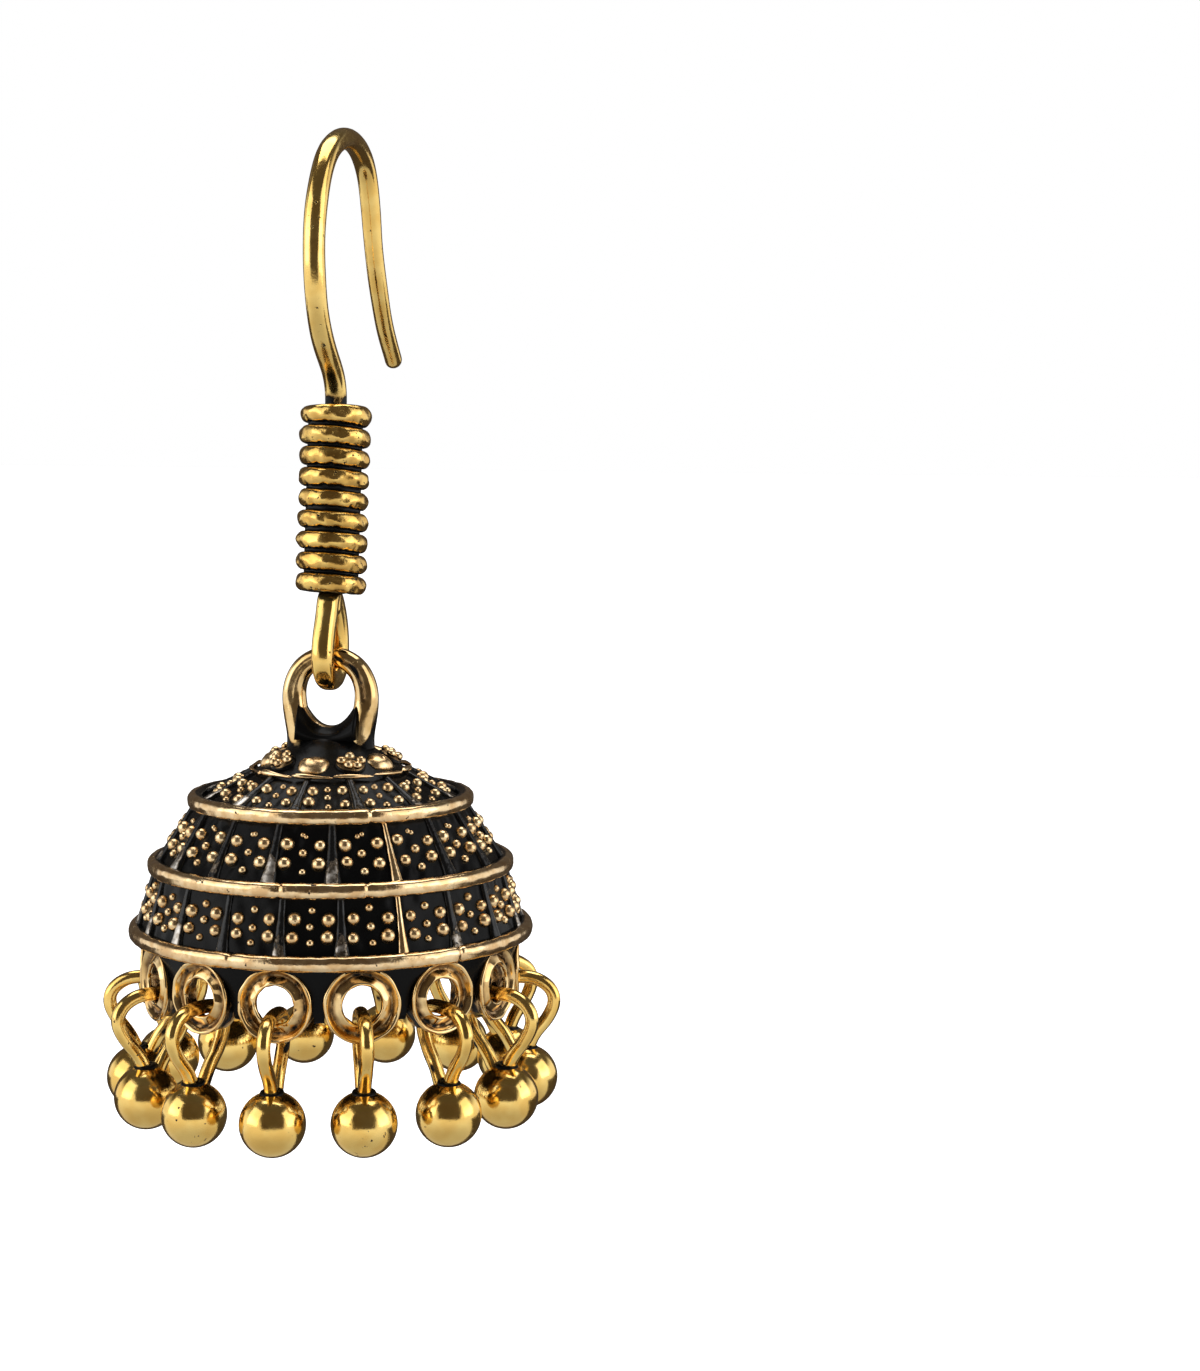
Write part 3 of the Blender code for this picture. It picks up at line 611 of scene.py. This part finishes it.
def makeRims():
    # A superellipse section turned round the axis; waves change its height, and notches its radius
    angle = roundTurn(rim["columns"])
    section = roundTurn(rim["sides"])
    bulge = superellipse(section, rim["square"])
    made = []
    for number in (1, 2, 3):
        centre = ringCentres[number]
        half = bell["rimThick"] / 2
        tall = half * (1 + rim["wave"] * ripple(angle, 0 * angle, 6, (2, 14), (0, 0), 20 + number))
        dents = ripple(angle[:, None], 1.3 * section[None], 12, (6, 60), (0.5, 2.5), 30 + number)
        notch = np.zeros_like(angle)
        for ring, mark, depth in rimMarks:
            if ring == number:
                apart = (angle - math.radians(mark) + math.pi) % turn - math.pi
                notch += depth * rim["seamDepth"] * np.exp(-(apart * centre[0] / rim["seamWidth"]) ** 2)
        grow = half * bulge[None] + rim["dent"] * dents - notch[:, None] * rim["seamCut"]
        radius = centre[0] + np.cos(section)[None] * grow
        height = centre[1] + np.sin(section)[None] * (grow + (tall - half)[:, None])
        points = onBell(radius, height, angle[:, None] + 0 * radius)
        facing = np.cos(section)[None] + 0 * radius
        gilt = 0.25 + 0.8 * smoothStep(-0.25, 0.35, facing) - 0.10 * np.abs(dents)
        gilt = gilt - rim["seamDark"] * notch[:, None]
        made.append(gridShape(points, gilt, wrapRows=True))
    return putPiece("rims", joined(made), castGold, "bell")


ridge = {"thick": 0.24, "panels": 12, "step": 0.10, "columns": 480, "sides": 10}


def makeRidge():
    # A thin ring made of flat panels: cosine of half a panel over cosine of the place in it, with
    # each panel's end a little lower than the next one's start
    angle = roundTurn(ridge["columns"])
    section = roundTurn(ridge["sides"])
    pitch = turn / ridge["panels"]
    inPanel = (angle + 0.2) % pitch - pitch / 2
    toEnd = np.abs(inPanel) / (pitch / 2)
    flat = math.cos(pitch / 2) / np.cos(inPanel)
    centre = ringCentres[0]
    thick = ridge["thick"] / 2 * (1 + 0.35 * ripple(angle, 0 * angle, 5, (3, 23), (0, 0), 51))
    thick = (thick * (1 - 0.75 * smoothStep(0.80, 1.0, toEnd)))[:, None]
    radius = (centre[0] + 0.10) * (0.55 + 0.45 * flat)[:, None] + np.cos(section)[None] * thick
    height = centre[1] + 0.06 - ridge["step"] * inPanel[:, None] / pitch + np.sin(section)[None] * thick
    gilt = 1.0 - 0.45 * smoothStep(0.85, 1.0, toEnd)[:, None] + 0 * radius
    points = onBell(radius, height, angle[:, None] + 0 * radius)
    return putPiece("ridge", gridShape(points, gilt, wrapRows=True), castGold, "bell")


rib = {"rows": 14, "arc": 11, "topWide": 0.21, "footWide": 0.56, "topHigh": 0.20, "footHigh": 0.34,
       "sink": 0.2, "goldWide": 0.85, "goldHigh": 1.15}
# Ribs whose gold is worn bare: how many ribs their row has, and which one it is
goldRibs = [(17, 1), (20, 2), (17, 9), (20, 13), (12, 7)]


def makeRibs():
    # A wedge with a round back: half its width and height grow down its length with a power of
    # the share, and its section is a flattened half circle over a sunk base
    share = np.linspace(0, 1, rib["rows"])[:, None]
    arc = np.linspace(0, math.pi, rib["arc"])[None]
    grow = share ** 2.4
    wide = rib["topWide"] + (rib["footWide"] - rib["topWide"]) * grow
    high = rib["topHigh"] + (rib["footHigh"] - rib["topHigh"]) * grow
    backX = np.cos(arc) * wide
    backZ = np.sin(arc) ** 0.8 * high
    baseX = np.array([[-1.0, 0.0, 1.0]]) * wide
    baseZ = -rib["sink"] + 0 * baseX
    x = np.hstack([backX, baseX])
    z = np.hstack([backZ, baseZ])
    crest = np.hstack([np.sin(arc) + 0 * wide, np.zeros((rib["rows"], 3))])
    # painted highlight: pale grey on the crest towards the foot; a gold one is bare all along its crest
    paintedSheen = smoothStep(0.25, 0.9, crest) * smoothStep(0.35, 0.85, share) * 0.75
    golden = 1.1 * smoothStep(0.35, 0.8, crest) + 0 * share
    darkUnit = gridShape(np.stack([x, share + 0 * x, z], axis=-1), paintedSheen)
    goldPlace = np.stack([x * rib["goldWide"], share + 0 * x, z * rib["goldHigh"]], axis=-1)
    goldUnit = gridShape(goldPlace, golden)
    made, gold = [], []
    for band, row in zip(bands, ringTable):
        if not row["panels"]:
            continue
        draw = np.random.default_rng(row["panels"])
        angle = math.radians(row["first"]) + roundTurn(row["panels"])
        normal = normalOf(band)
        start = band[0] - normal * bell["inset"]
        ones = np.ones(len(angle))
        origins = onBell(start[0] * ones, start[1] * ones, angle)
        size = draw.uniform(0.85, 1.15, len(angle))[:, None]
        axisX = roundFrom(angle) * size
        axisY = turned(band[1] - band[0], angle)
        axisZ = turned(normal, angle) * size
        bareOnes = [index for count, index in goldRibs if count == row["panels"]]
        bare = np.isin(np.arange(row["panels"]), bareOnes)
        copies = copiesOf(darkUnit, origins[~bare], axisX[~bare], axisY[~bare], axisZ[~bare])
        # each rib's painted highlight gets its own strength
        sheenStrength = draw.uniform(0.2, 1.15, (~bare).sum())
        copies["gilt"] = copies["gilt"] * np.repeat(sheenStrength, len(darkUnit["points"]))
        made.append(outwards(copies))
        if bare.any():
            gold.append(outwards(copiesOf(goldUnit, origins[bare], axisX[bare], axisY[bare], axisZ[bare])))
    putPiece("goldRibs", joined(gold), castGold, "bell")
    return putPiece("ribs", joined(made), paintedSheenPatina, "bell")


grain = {"segments": 12, "rings": 4, "high": 1.05, "grow": 1.36}
# Dots of one panel: place across in shares of its width, place down in shares of the open band,
# and diameter
panelDots = {
    1: [(-0.29, 0.30, 0.50), (-0.29, 0.68, 0.52), (0.29, 0.30, 0.50), (0.29, 0.68, 0.52),
        (0.0, 0.20, 0.30), (0.0, 0.47, 0.32), (0.0, 0.76, 0.32)],
    2: [(-0.29, 0.32, 0.58), (-0.29, 0.64, 0.60), (0.29, 0.32, 0.58), (0.29, 0.64, 0.60),
        (-0.035, 0.15, 0.22), (0.035, 0.16, 0.22), (0.0, 0.47, 0.40), (0.0, 0.79, 0.36)],
    3: [(-0.29, 0.36, 0.58), (-0.29, 0.67, 0.60), (0.29, 0.36, 0.58), (0.29, 0.67, 0.60),
        (0.0, 0.18, 0.36), (0.0, 0.50, 0.38), (0.0, 0.79, 0.36)],
}


def domeShape(segments, rings, high):
    # A sphere's upper part and a little below its middle, read by angle down and angle round
    down = np.radians(np.linspace(20, 105, rings + 1))[:, None]
    around = roundTurn(segments)[None]
    x = np.sin(down) * np.cos(around)
    y = np.sin(down) * np.sin(around)
    z = np.cos(down) * high + 0 * x
    gilt = 1.0 - 0.75 * smoothStep(1.35, 1.8, down) + 0 * x
    shape = gridShape(np.stack([x, y, z], axis=-1), gilt)
    shape["points"][-2] = [0, 0, high]
    shape["gilt"][-2] = 1.0
    return shape


def makeGrains():
    # A dome at each place in each panel, set square to its band and shifted a little by chance
    unit = domeShape(grain["segments"], grain["rings"], grain["high"])
    made = []
    for number, dots in panelDots.items():
        row = ringTable[number]
        band = bands[number]
        normal = normalOf(band)
        length = np.linalg.norm(band[1] - band[0])
        topEdge = ringTable[number - 1]["thick"] / 2 / length
        lowEdge = 1 - row["thick"] / 2 / length
        table = np.array(dots)
        draw = np.random.default_rng(100 + number)
        panel = np.repeat(np.arange(row["panels"]) + 0.5, len(table))
        across = np.tile(table[:, 0], row["panels"]) + draw.normal(0, 0.012, len(panel))
        share = np.tile(table[:, 1], row["panels"]) + draw.normal(0, 0.015, len(panel))
        down = topEdge + (lowEdge - topEdge) * share
        size = grain["grow"] * np.tile(table[:, 2], row["panels"]) / 2 * draw.uniform(0.9, 1.1, len(panel))
        angle = math.radians(row["first"]) + (panel + across) * turn / row["panels"]
        place = band[0] + (band[1] - band[0]) * down[:, None] - normal * (bell["inset"] + 0.08)
        origins = onBell(place[:, 0], place[:, 1], angle)
        slope = (band[1] - band[0]) / length
        axisX = roundFrom(angle) * size[:, None]
        axisY = -turned(slope, angle) * size[:, None]
        axisZ = turned(normal, angle) * size[:, None]
        made.append(outwards(copiesOf(unit, origins, axisX, axisY, axisZ)))
    return putPiece("grains", joined(made), domeGold, "bell")


petal = {"count": 10, "wide": 1.95, "long": 1.62, "high": 0.60, "square": 2.05, "rings": 14, "columns": 48,
         "rise": 0.16, "darken": 0.72, "spot": 0.29, "spotHigh": 0.62}
# The dots of a dark petal, in shares of half its width and length before they are spread wider
petalSpots = np.array([(-0.54, 0.10), (0.54, 0.02), (0.04, 0.46), (0.20, -0.42), (-0.26, -0.36)])


def makePetals():
    # A rounded mound on the slope under the crown: height falls with the distance from its
    # middle, and every second one is dark with five small dots
    reach = np.linspace(0.06, 1.0, petal["rings"])[:, None]
    around = roundTurn(petal["columns"])[None]
    leaf = superellipse(around, petal["square"])
    band = bands[0]
    normal = normalOf(band)
    slope = (band[1] - band[0]) / np.linalg.norm(band[1] - band[0])
    middle = (band[0] + band[1]) / 2 - normal * bell["inset"] - slope * petal["rise"]
    made = []
    for index in range(petal["count"]):
        bumps = ripple(around, 3 * reach, 5, (1, 3), (0.5, 1.5), 200 + index)
        edge = 1 + 0.03 * ripple(around, 0 * around, 4, (2, 5), (0, 0), 220 + index)
        x = reach * leaf * np.cos(around) * petal["wide"] / 2 * edge
        y = reach * leaf * np.sin(around) * petal["long"] / 2 * edge
        z = petal["high"] * np.sqrt(1 - reach ** 2.2) - 0.12 + 0.02 * bumps * (1 - reach ** 4)
        gilt = 1.10 - 0.75 * smoothStep(0.84, 1.0, reach) - 0.12 * smoothStep(0.2, 1.2, -bumps)
        parts = [gridShape(np.stack([x, y, z + 0 * x], axis=-1), gilt + 0 * x)]
        if index % 2:
            parts[0]["gilt"] = parts[0]["gilt"] - petal["darken"]
            across = petalSpots[:, 0] * petal["wide"] / 2 * 1.1
            along = petalSpots[:, 1] * petal["long"] / 2 * 1.2
            count = len(petalSpots)
            origins = np.column_stack([across, along, np.full(count, petal["high"] * petal["spotHigh"])])
            axes = [np.tile(axis * petal["spot"], (count, 1)) for axis in np.eye(3)]
            parts.append(copiesOf(domeShape(10, 3, 0.9), origins, *axes))
        angle = np.array([index * turn / petal["count"]])
        origin = onBell(middle[:1], middle[1:], angle)
        axes = (roundFrom(angle), -turned(slope, angle), turned(normal, angle))
        made.append(outwards(copiesOf(joined(parts), origin, *axes)))
    return putPiece("petals", joined(made), domeGold, "bell")


bail = {"width": 5.85, "legThick": 1.55, "root": 1.15, "footThick": 1.62, "groove": 0.10, "crease": 0.06,
        "sides": 36}
bailRoute = [(0.44, 0.04), (0.80, 0.15), (1.0, 0.34), (1.0, 0.53), (0.91, 0.72), (0.84, 0.86), (0.84, 1.0)]


def makeBail():
    # A round wire in the XZ plane that thickens towards its feet, with a shallow groove down its
    # front and back; black patina climbs the feet beside a leaf-shaped gold face
    half = (bail["width"] - bail["legThick"]) / 2
    tall = bell["bailRise"] + bail["root"]
    leg = [[across * half, bellAxis[1], bailTop - drop * tall] for across, drop in bailRoute]
    other = [[-x, y, z] for x, y, z in leg[::-1]]
    route = softened(evenRoute(smoothRoute(other + [[0, bellAxis[1], bailTop]] + leg, 14), 0.14), 8)
    down = np.clip((bailTop - route[:, 2]) / tall, 0, 1)
    radius = (bell["bailWire"] + (bail["footThick"] - bell["bailWire"]) * down) / 2
    points = tube(route, radius, np.array([0.0, 1.0, 0]), bail["sides"], square=2.2)
    angle = roundTurn(bail["sides"])[None]
    frontness = -np.sin(angle)
    fall = down[:, None]
    crease = np.exp(-((np.abs(frontness) - 1) / bail["crease"]) ** 2) * (1 - smoothStep(0.42, 0.60, fall))
    centre = route[:, None]
    points = centre + (points - centre) * (1 - bail["groove"] * crease)[..., None]
    rows = np.linspace(0, 1, len(route))[:, None]
    mottle = ripple(angle, rows, 8, (1, 4), (20, 90), 70)
    leafWidth = 0.75 * smoothStep(1.02, 0.55, fall)
    leafFace = smoothStep(1 - leafWidth - 0.12, 1 - leafWidth + 0.12, np.abs(frontness))
    foot = smoothStep(0.50, 0.62, fall)
    # the groove is darker on the leg at +X
    darker = 0.35 + 0.40 * smoothStep(-0.3, 0.6, route[:, 0])[:, None]
    gilt = 1.1 - darker * crease - 0.12 * np.maximum(mottle, 0)
    gilt = gilt * (1 - foot) + foot * (0.05 + 0.9 * leafFace * smoothStep(0.98, 0.90, fall) - 0.15 * mottle)
    return putPiece("bail", gridShape(points, gilt), loopGold, "bell")


saddle = {"reach": 1.75, "topDrop": 4.03, "hollow": 1.75, "thick": 0.62, "foot": 1.5, "sink": 0.5}


def makeSaddle():
    # The web between the bail's feet: each section across X is an arch whose top follows a
    # hollow curve, highest beside the legs
    x = np.linspace(-saddle["reach"], saddle["reach"], 33)[:, None]
    arch = np.linspace(0, math.pi, 19)[None]
    hollow = (np.abs(x) / saddle["reach"]) ** 2.2
    base = crownTop - saddle["sink"]
    top = bailTop - saddle["topDrop"] + saddle["hollow"] * hollow
    wide = saddle["thick"] + (saddle["foot"] - saddle["thick"]) * (1 - np.sin(arch)) ** 1.5
    y = bellAxis[1] - np.cos(arch) * wide + 0 * x
    z = base + (top - base) * np.sin(arch) ** 0.55
    x = x + 0 * y
    floor = np.linspace(1, -1, 5)[None, 1:-1] * saddle["foot"] + 0 * x[:, :1] + bellAxis[1]
    # a gold line runs along the crest on the side at -X
    line = 1.1 * np.exp(-((arch - 1.15) / 0.22) ** 2) * (1 - smoothStep(-0.2, 0.7, x))
    gilt = np.hstack([np.maximum(line, 0.06), 0.06 + 0 * floor])
    places = [np.hstack([x, x[:, :3]]), np.hstack([y, floor]), np.hstack([z, base + 0 * floor])]
    return putPiece("saddle", gridShape(np.stack(places, axis=-1), gilt), castGold, "bell")


def makeEyelets():
    # Each eyelet is a section turned round its own level axis: an outer face with a groove, a
    # front lip, a hollow face, an inner lip round the hole, the hole and a back lip
    outer, bore, lip, half = eyelet["outer"], eyelet["bore"], eyelet["lip"], eyelet["length"] / 2
    outline = np.array([(outer - 0.02, -half + 0.10), (outer - 0.10, -half + 0.28), (outer - 0.15, -0.06),
                        (outer - 0.08, half - 0.40), (outer + 0.04, half - 0.22), (outer + 0.06, half - 0.08),
                        (outer - 0.01, half + 0.02), (outer - 0.14, half - 0.02), (outer - 0.27, half - 0.19),
                        (outer - 0.40, half - 0.28), (outer - 0.52, half - 0.25), (lip + 0.26, half - 0.10),
                        (lip + 0.14, half - 0.03), (lip + 0.05, half - 0.07), (lip, half - 0.19),
                        (lip + 0.06, half - 0.40), (bore - 0.03, -0.05), (bore, -half + 0.25),
                        (bore + 0.07, -half + 0.07), (bore + 0.2, -half), (outer - 0.2, -half)])
    giltRow = np.array([0.8, 0.40, 0.30, 0.6, 1.0, 1.15, 1.15, 0.9, 0.50, 0.40, 0.46, 0.85, 1.15, 1.15, 0.80,
                        0.48, 0.42, 0.45, 0.7, 0.7, 0.7])
    fine = smoothRoute(np.column_stack([outline, giltRow]), 3, True)
    around = roundTurn(eyelet["sides"])[None]
    made = []
    for index in range(eyelet["count"]):
        dents = ripple(around, np.arange(len(fine))[:, None] * 0.3, 8, (2, 12), (0.3, 1.6), 300 + index)
        reach = fine[:, :1] + 0.018 * dents
        out = fine[:, 1:2] + 0.016 * dents
        size = 1 + 0.02 * math.sin(index * 2.3)
        angle = index * turn / eyelet["count"]
        level = (reach * np.sin(around) * size)[..., None]
        rise = (reach * np.cos(around) * size)[..., None]
        points = onBell(eyeletRadius, eyeletHeight, angle) + roundFrom(angle) * level + up * rise
        points = points + outFrom(angle) * out[..., None]
        gilt = fine[:, 2:] - 0.06 * np.abs(dents)
        made.append(gridShape(points, gilt, wrapRows=True))
    return putPiece("eyelets", joined(made), loopGold, "bell")


makeBellShell()
makeRims()
makeRidge()
makeRibs()
makeGrains()
makePetals()
makeBail()
makeSaddle()
makeEyelets()
print("bell made")


# Drops: a ball on a link, one through each eyelet

drop = {"ball": 1.85, "wire": 0.78, "sideGap": 0.96, "topGap": 0.4, "length": 8.17, "out": 0.75,
        "ballOut": 0.35, "root": 0.35, "socket": 0.62, "sides": 18, "ballSides": 56, "socketSides": 28}
# Shares of half the link's width, out positive, and of its height over the ball's top
linkRoute = [(0.20, -0.06), (0.42, 0.16), (0.80, 0.40), (1.0, 0.64), (0.86, 0.84), (0.46, 0.97), (0.0, 1.0),
             (-0.62, 0.985), (-0.96, 0.87), (-1.0, 0.64), (-0.80, 0.40), (-0.44, 0.16), (-0.18, -0.09)]


def makeDrop(index):
    # Made in the plane that faces out from the bell (x out, z up), then turned to its eyelet
    half = (eyelet["length"] + drop["wire"]) / 2 + drop["sideGap"]
    top = eyeletHeight - eyelet["bore"] + drop["topGap"] + drop["wire"] / 2
    ballMiddle = top + drop["wire"] / 2 - drop["length"] + drop["ball"]
    ballTop = ballMiddle + drop["ball"]
    middle = eyeletRadius + drop["out"]
    link = [[middle + out * half, 0, ballTop + rise * (top - ballTop)] for out, rise in linkRoute]
    link[0][2] = ballTop - drop["root"]
    route = softened(evenRoute(smoothRoute(link, 10), 0.13), 6)
    points = tube(route, drop["wire"] / 2, np.array([0.0, 1, 0]), drop["sides"], square=2.2)
    rows = np.linspace(0, 1, len(route))[:, None]
    around = roundTurn(drop["sides"])[None]
    scuffs = ripple(around, rows, 7, (1, 4), (10, 60), 400 + index)
    points = points + 0.012 * scuffs[..., None] * (points - route[:, None])
    gilt = 1.05 - 0.20 * np.maximum(scuffs, 0) - 0.5 * smoothStep(0.62, 0.80, rows) * (0.5 + 0.5 * scuffs)
    parts = [gridShape(points, gilt)]
    down = np.radians(np.linspace(4, 176, 34))[:, None]
    ballRound = roundTurn(drop["ballSides"])[None]
    ballX = middle + drop["ballOut"] + drop["ball"] * np.sin(down) * np.cos(ballRound)
    ballY = drop["ball"] * np.sin(down) * np.sin(ballRound)
    ballZ = ballMiddle + drop["ball"] * np.cos(down) + 0 * ballX
    worn = ripple(ballRound, 3 * down, 6, (1, 5), (0.5, 2), 430 + index)
    parts.append(gridShape(np.stack([ballX, ballY, ballZ], axis=-1), 1.0 - 0.10 * np.maximum(worn, 0)))
    parts[1]["points"][-2:] = [[middle + drop["ballOut"], 0, ballMiddle + drop["ball"]],
                               [middle + drop["ballOut"], 0, ballMiddle - drop["ball"]]]
    # a dark ring lies round the link's foot, tilted with the ball's top
    collar = np.radians(np.linspace(0, 360, 10, endpoint=False))[:, None]
    socketRound = roundTurn(drop["socketSides"])[None]
    ringX = (drop["socket"] - 0.13) + 0.20 * np.cos(collar)
    foot = middle + 0.20 * half
    socketX = foot + ringX * np.cos(socketRound)
    socketY = ringX * np.sin(socketRound)
    tilt = -(socketX - middle - drop["ballOut"]) * 0.16
    socketZ = ballTop - 0.10 + 0.16 * np.sin(collar) + tilt
    parts.append(gridShape(np.stack([socketX, socketY, socketZ], axis=-1), 0.0, wrapRows=True))
    shape = joined(parts)
    x, y, z = shape["points"].T
    draw = np.random.default_rng(500 + index)
    twist = draw.normal(0, math.radians(2.5))
    centred = x - middle
    x = middle + centred * math.cos(twist) - y * math.sin(twist)
    y = centred * math.sin(twist) + y * math.cos(twist)
    angle = index * turn / eyelet["count"]
    shape["points"] = bellAxis + outFrom(angle) * x[:, None] + roundFrom(angle) * y[:, None] + up * z[:, None]
    number = f"{index + 1:02d}"
    node = "drop_" + number
    return putPiece("ballDrop" + number, outwards(shape), polishedGold, "bell", [node])


for dropIndex in range(eyelet["count"]):
    makeDrop(dropIndex)
print("drops made")


# Stage: a pale floor, soft boxes, dark cards that only show in reflections, and the camera

stage = {"floorHeight": -120.0, "floorSize": 6000.0, "cameraDistance": 167.39, "azimuth": 17.0,
         "yaw": 5.345, "pitch": 6.093, "roll": 0.24, "height": -13.03, "lens": 76.08, "floorGlow": 1.1,
         "cardGlow": 0.5, "overhead": (0.09, 0.08, 0.07, 1), "underfoot": (0.52, 0.52, 0.52, 1)}
# Upright dark cards: name, distance in front of the earring, rise, width and height
darkCards = [("frontCard", 260, 95, 470, 310), ("backCard", -420, 80, 860, 380)]
# Soft boxes: name, azimuth from the camera's, elevation, distance, width and height, watts
softBoxes = [("leftBox", -74, 24, 700, (600, 620), 1.6), ("rightBox", 72, 22, 700, (560, 620), 1.5),
             ("topBox", 170, 72, 600, (600, 420), 2.2)]
middlePoint = np.array([0.0, bellAxis[1], -30.0])


def plainMaterial(name, color, glow=0.0, roughness=0.8):
    # One flat color: it scatters light evenly and gives off its own, times glow
    material = bpy.data.materials.new(name)
    material.use_nodes = True
    shader = material.node_tree.nodes["Principled BSDF"]
    shader.inputs["Base Color"].default_value = (*color, 1)
    shader.inputs["Roughness"].default_value = roughness
    shader.inputs["Emission Color"].default_value = (*color, 1)
    shader.inputs["Emission Strength"].default_value = glow
    return material


def addCard(name, centre, across, tall, facing, material, onlyReflected):
    # A flat card whose front looks towards a point: its corners lie half of "across" to each side
    # of the centre and half of "tall" up and down
    centre = np.array(centre, float)
    out = np.array(facing, float) - centre
    out /= np.linalg.norm(out)
    side = np.cross(up if abs(out[2]) < 0.99 else np.array([0.0, 1, 0]), out)
    side /= np.linalg.norm(side)
    rise = np.cross(out, side)
    signs = ((-1, -1), (1, -1), (1, 1), (-1, 1))
    places = [centre + side * a * across / 2 + rise * b * tall / 2 for a, b in signs]
    mesh = bpy.data.meshes.new(name)
    mesh.from_pydata([tuple(place * mm) for place in places], [], [(0, 1, 2, 3)])
    mesh.materials.append(material)
    card = bpy.data.objects.new(name, mesh)
    bpy.context.scene.collection.objects.link(card)
    if onlyReflected:
        card.visible_camera = False
        card.visible_diffuse = False
        card.visible_shadow = False
        card.visible_transmission = False
    return card


def addSoftBox(name, azimuth, elevation, distance, size, power):
    # An area light on a sphere round the earring's middle, aimed at it
    a, e = math.radians(azimuth), math.radians(elevation)
    away = np.array([math.sin(a) * math.cos(e), -math.cos(a) * math.cos(e), math.sin(e)])
    place = middlePoint + away * distance
    light = bpy.data.lights.new(name, "AREA")
    light.shape = "RECTANGLE"
    light.size = size[0] * mm
    light.size_y = size[1] * mm
    light.energy = power
    lamp = bpy.data.objects.new(name, light)
    bpy.context.scene.collection.objects.link(lamp)
    lamp.location = place * mm
    lamp.rotation_euler = Vector(-away).to_track_quat("-Z", "Y").to_euler()
    lamp.visible_camera = False
    return lamp


def makeStage():
    # Floor, cards, lights and a studio that shades smoothly with a ray's height, from a grey below
    # to white at the horizon and dark overhead
    floorWhite = plainMaterial("floor_white", (0.92, 0.92, 0.92), stage["floorGlow"])
    size = stage["floorSize"]
    floor = addCard("floor", (0, 0, stage["floorHeight"]), size, size, (0, 0, 0), floorWhite, False)
    # reflections see the studio's shaded lower half in place of the bright floor
    floor.visible_glossy = False
    dark = plainMaterial("dark_card", (0.035, 0.026, 0.018), stage["cardGlow"])
    a = math.radians(stage["azimuth"])
    front = np.array([math.sin(a), -math.cos(a), 0.0])
    for name, distance, rise, across, tall in darkCards:
        addCard(name, middlePoint + front * distance + up * rise, across, tall, middlePoint, dark, True)
    lowCentre = np.array([0.0, 0.0, stage["floorHeight"] + 1]) - front * 330
    addCard("lowCard", lowCentre, 820, 560, lowCentre + up, dark, True)
    world = bpy.data.worlds.new("studio")
    bpy.context.scene.world = world
    world.use_nodes = True
    tree = world.node_tree
    ground = tree.nodes["Background"]
    ray = addNode(tree, "ShaderNodeTexCoord").outputs["Generated"]
    height = addNode(tree, "ShaderNodeSeparateXYZ", None, Vector=ray).outputs["Z"]
    above = mapped(tree, height, 0.20, 0.55)
    below = mapped(tree, height, -0.95, -0.02)
    color = mixColors(tree, above, (1.0, 1.0, 1.0, 1), stage["overhead"])
    color = mixColors(tree, below, stage["underfoot"], color)
    tree.links.new(color, ground.inputs["Color"])
    ground.inputs["Strength"].default_value = 1.0
    for name, azimuth, elevation, distance, size, power in softBoxes:
        addSoftBox(name, stage["azimuth"] + azimuth, elevation, distance, size, power)


def makeCamera():
    # The photograph's view: straight at the bell's axis, then turned by yaw, pitch and roll
    a = math.radians(stage["azimuth"])
    yaw, pitch, roll = (math.radians(stage[key]) for key in ("yaw", "pitch", "roll"))
    forward = np.array([-math.sin(a), math.cos(a), 0.0])
    right = np.array([math.cos(a), math.sin(a), 0.0])
    place = bellAxis - forward * stage["cameraDistance"] + up * stage["height"]
    level = math.cos(yaw) * forward + math.sin(yaw) * right
    side = math.cos(yaw) * right - math.sin(yaw) * forward
    ahead = math.cos(pitch) * level - math.sin(pitch) * up
    top = math.cos(pitch) * up + math.sin(pitch) * level
    rolledSide = math.cos(roll) * side + math.sin(roll) * top
    rolledTop = math.cos(roll) * top - math.sin(roll) * side
    camera = bpy.data.objects.new("camera", bpy.data.cameras.new("camera"))
    bpy.context.scene.collection.objects.link(camera)
    columns = np.eye(4)
    columns[:3] = np.column_stack([rolledSide, rolledTop, -ahead, place * mm])
    camera.matrix_world = Matrix(columns.tolist())
    camera.data.lens = stage["lens"]
    camera.data.sensor_width = 36
    camera.data.clip_start = 0.01
    camera.data.clip_end = 20
    bpy.context.scene.camera = camera


makeStage()
makeCamera()
bpy.context.scene.view_settings.view_transform = "Standard"
print("stage made")
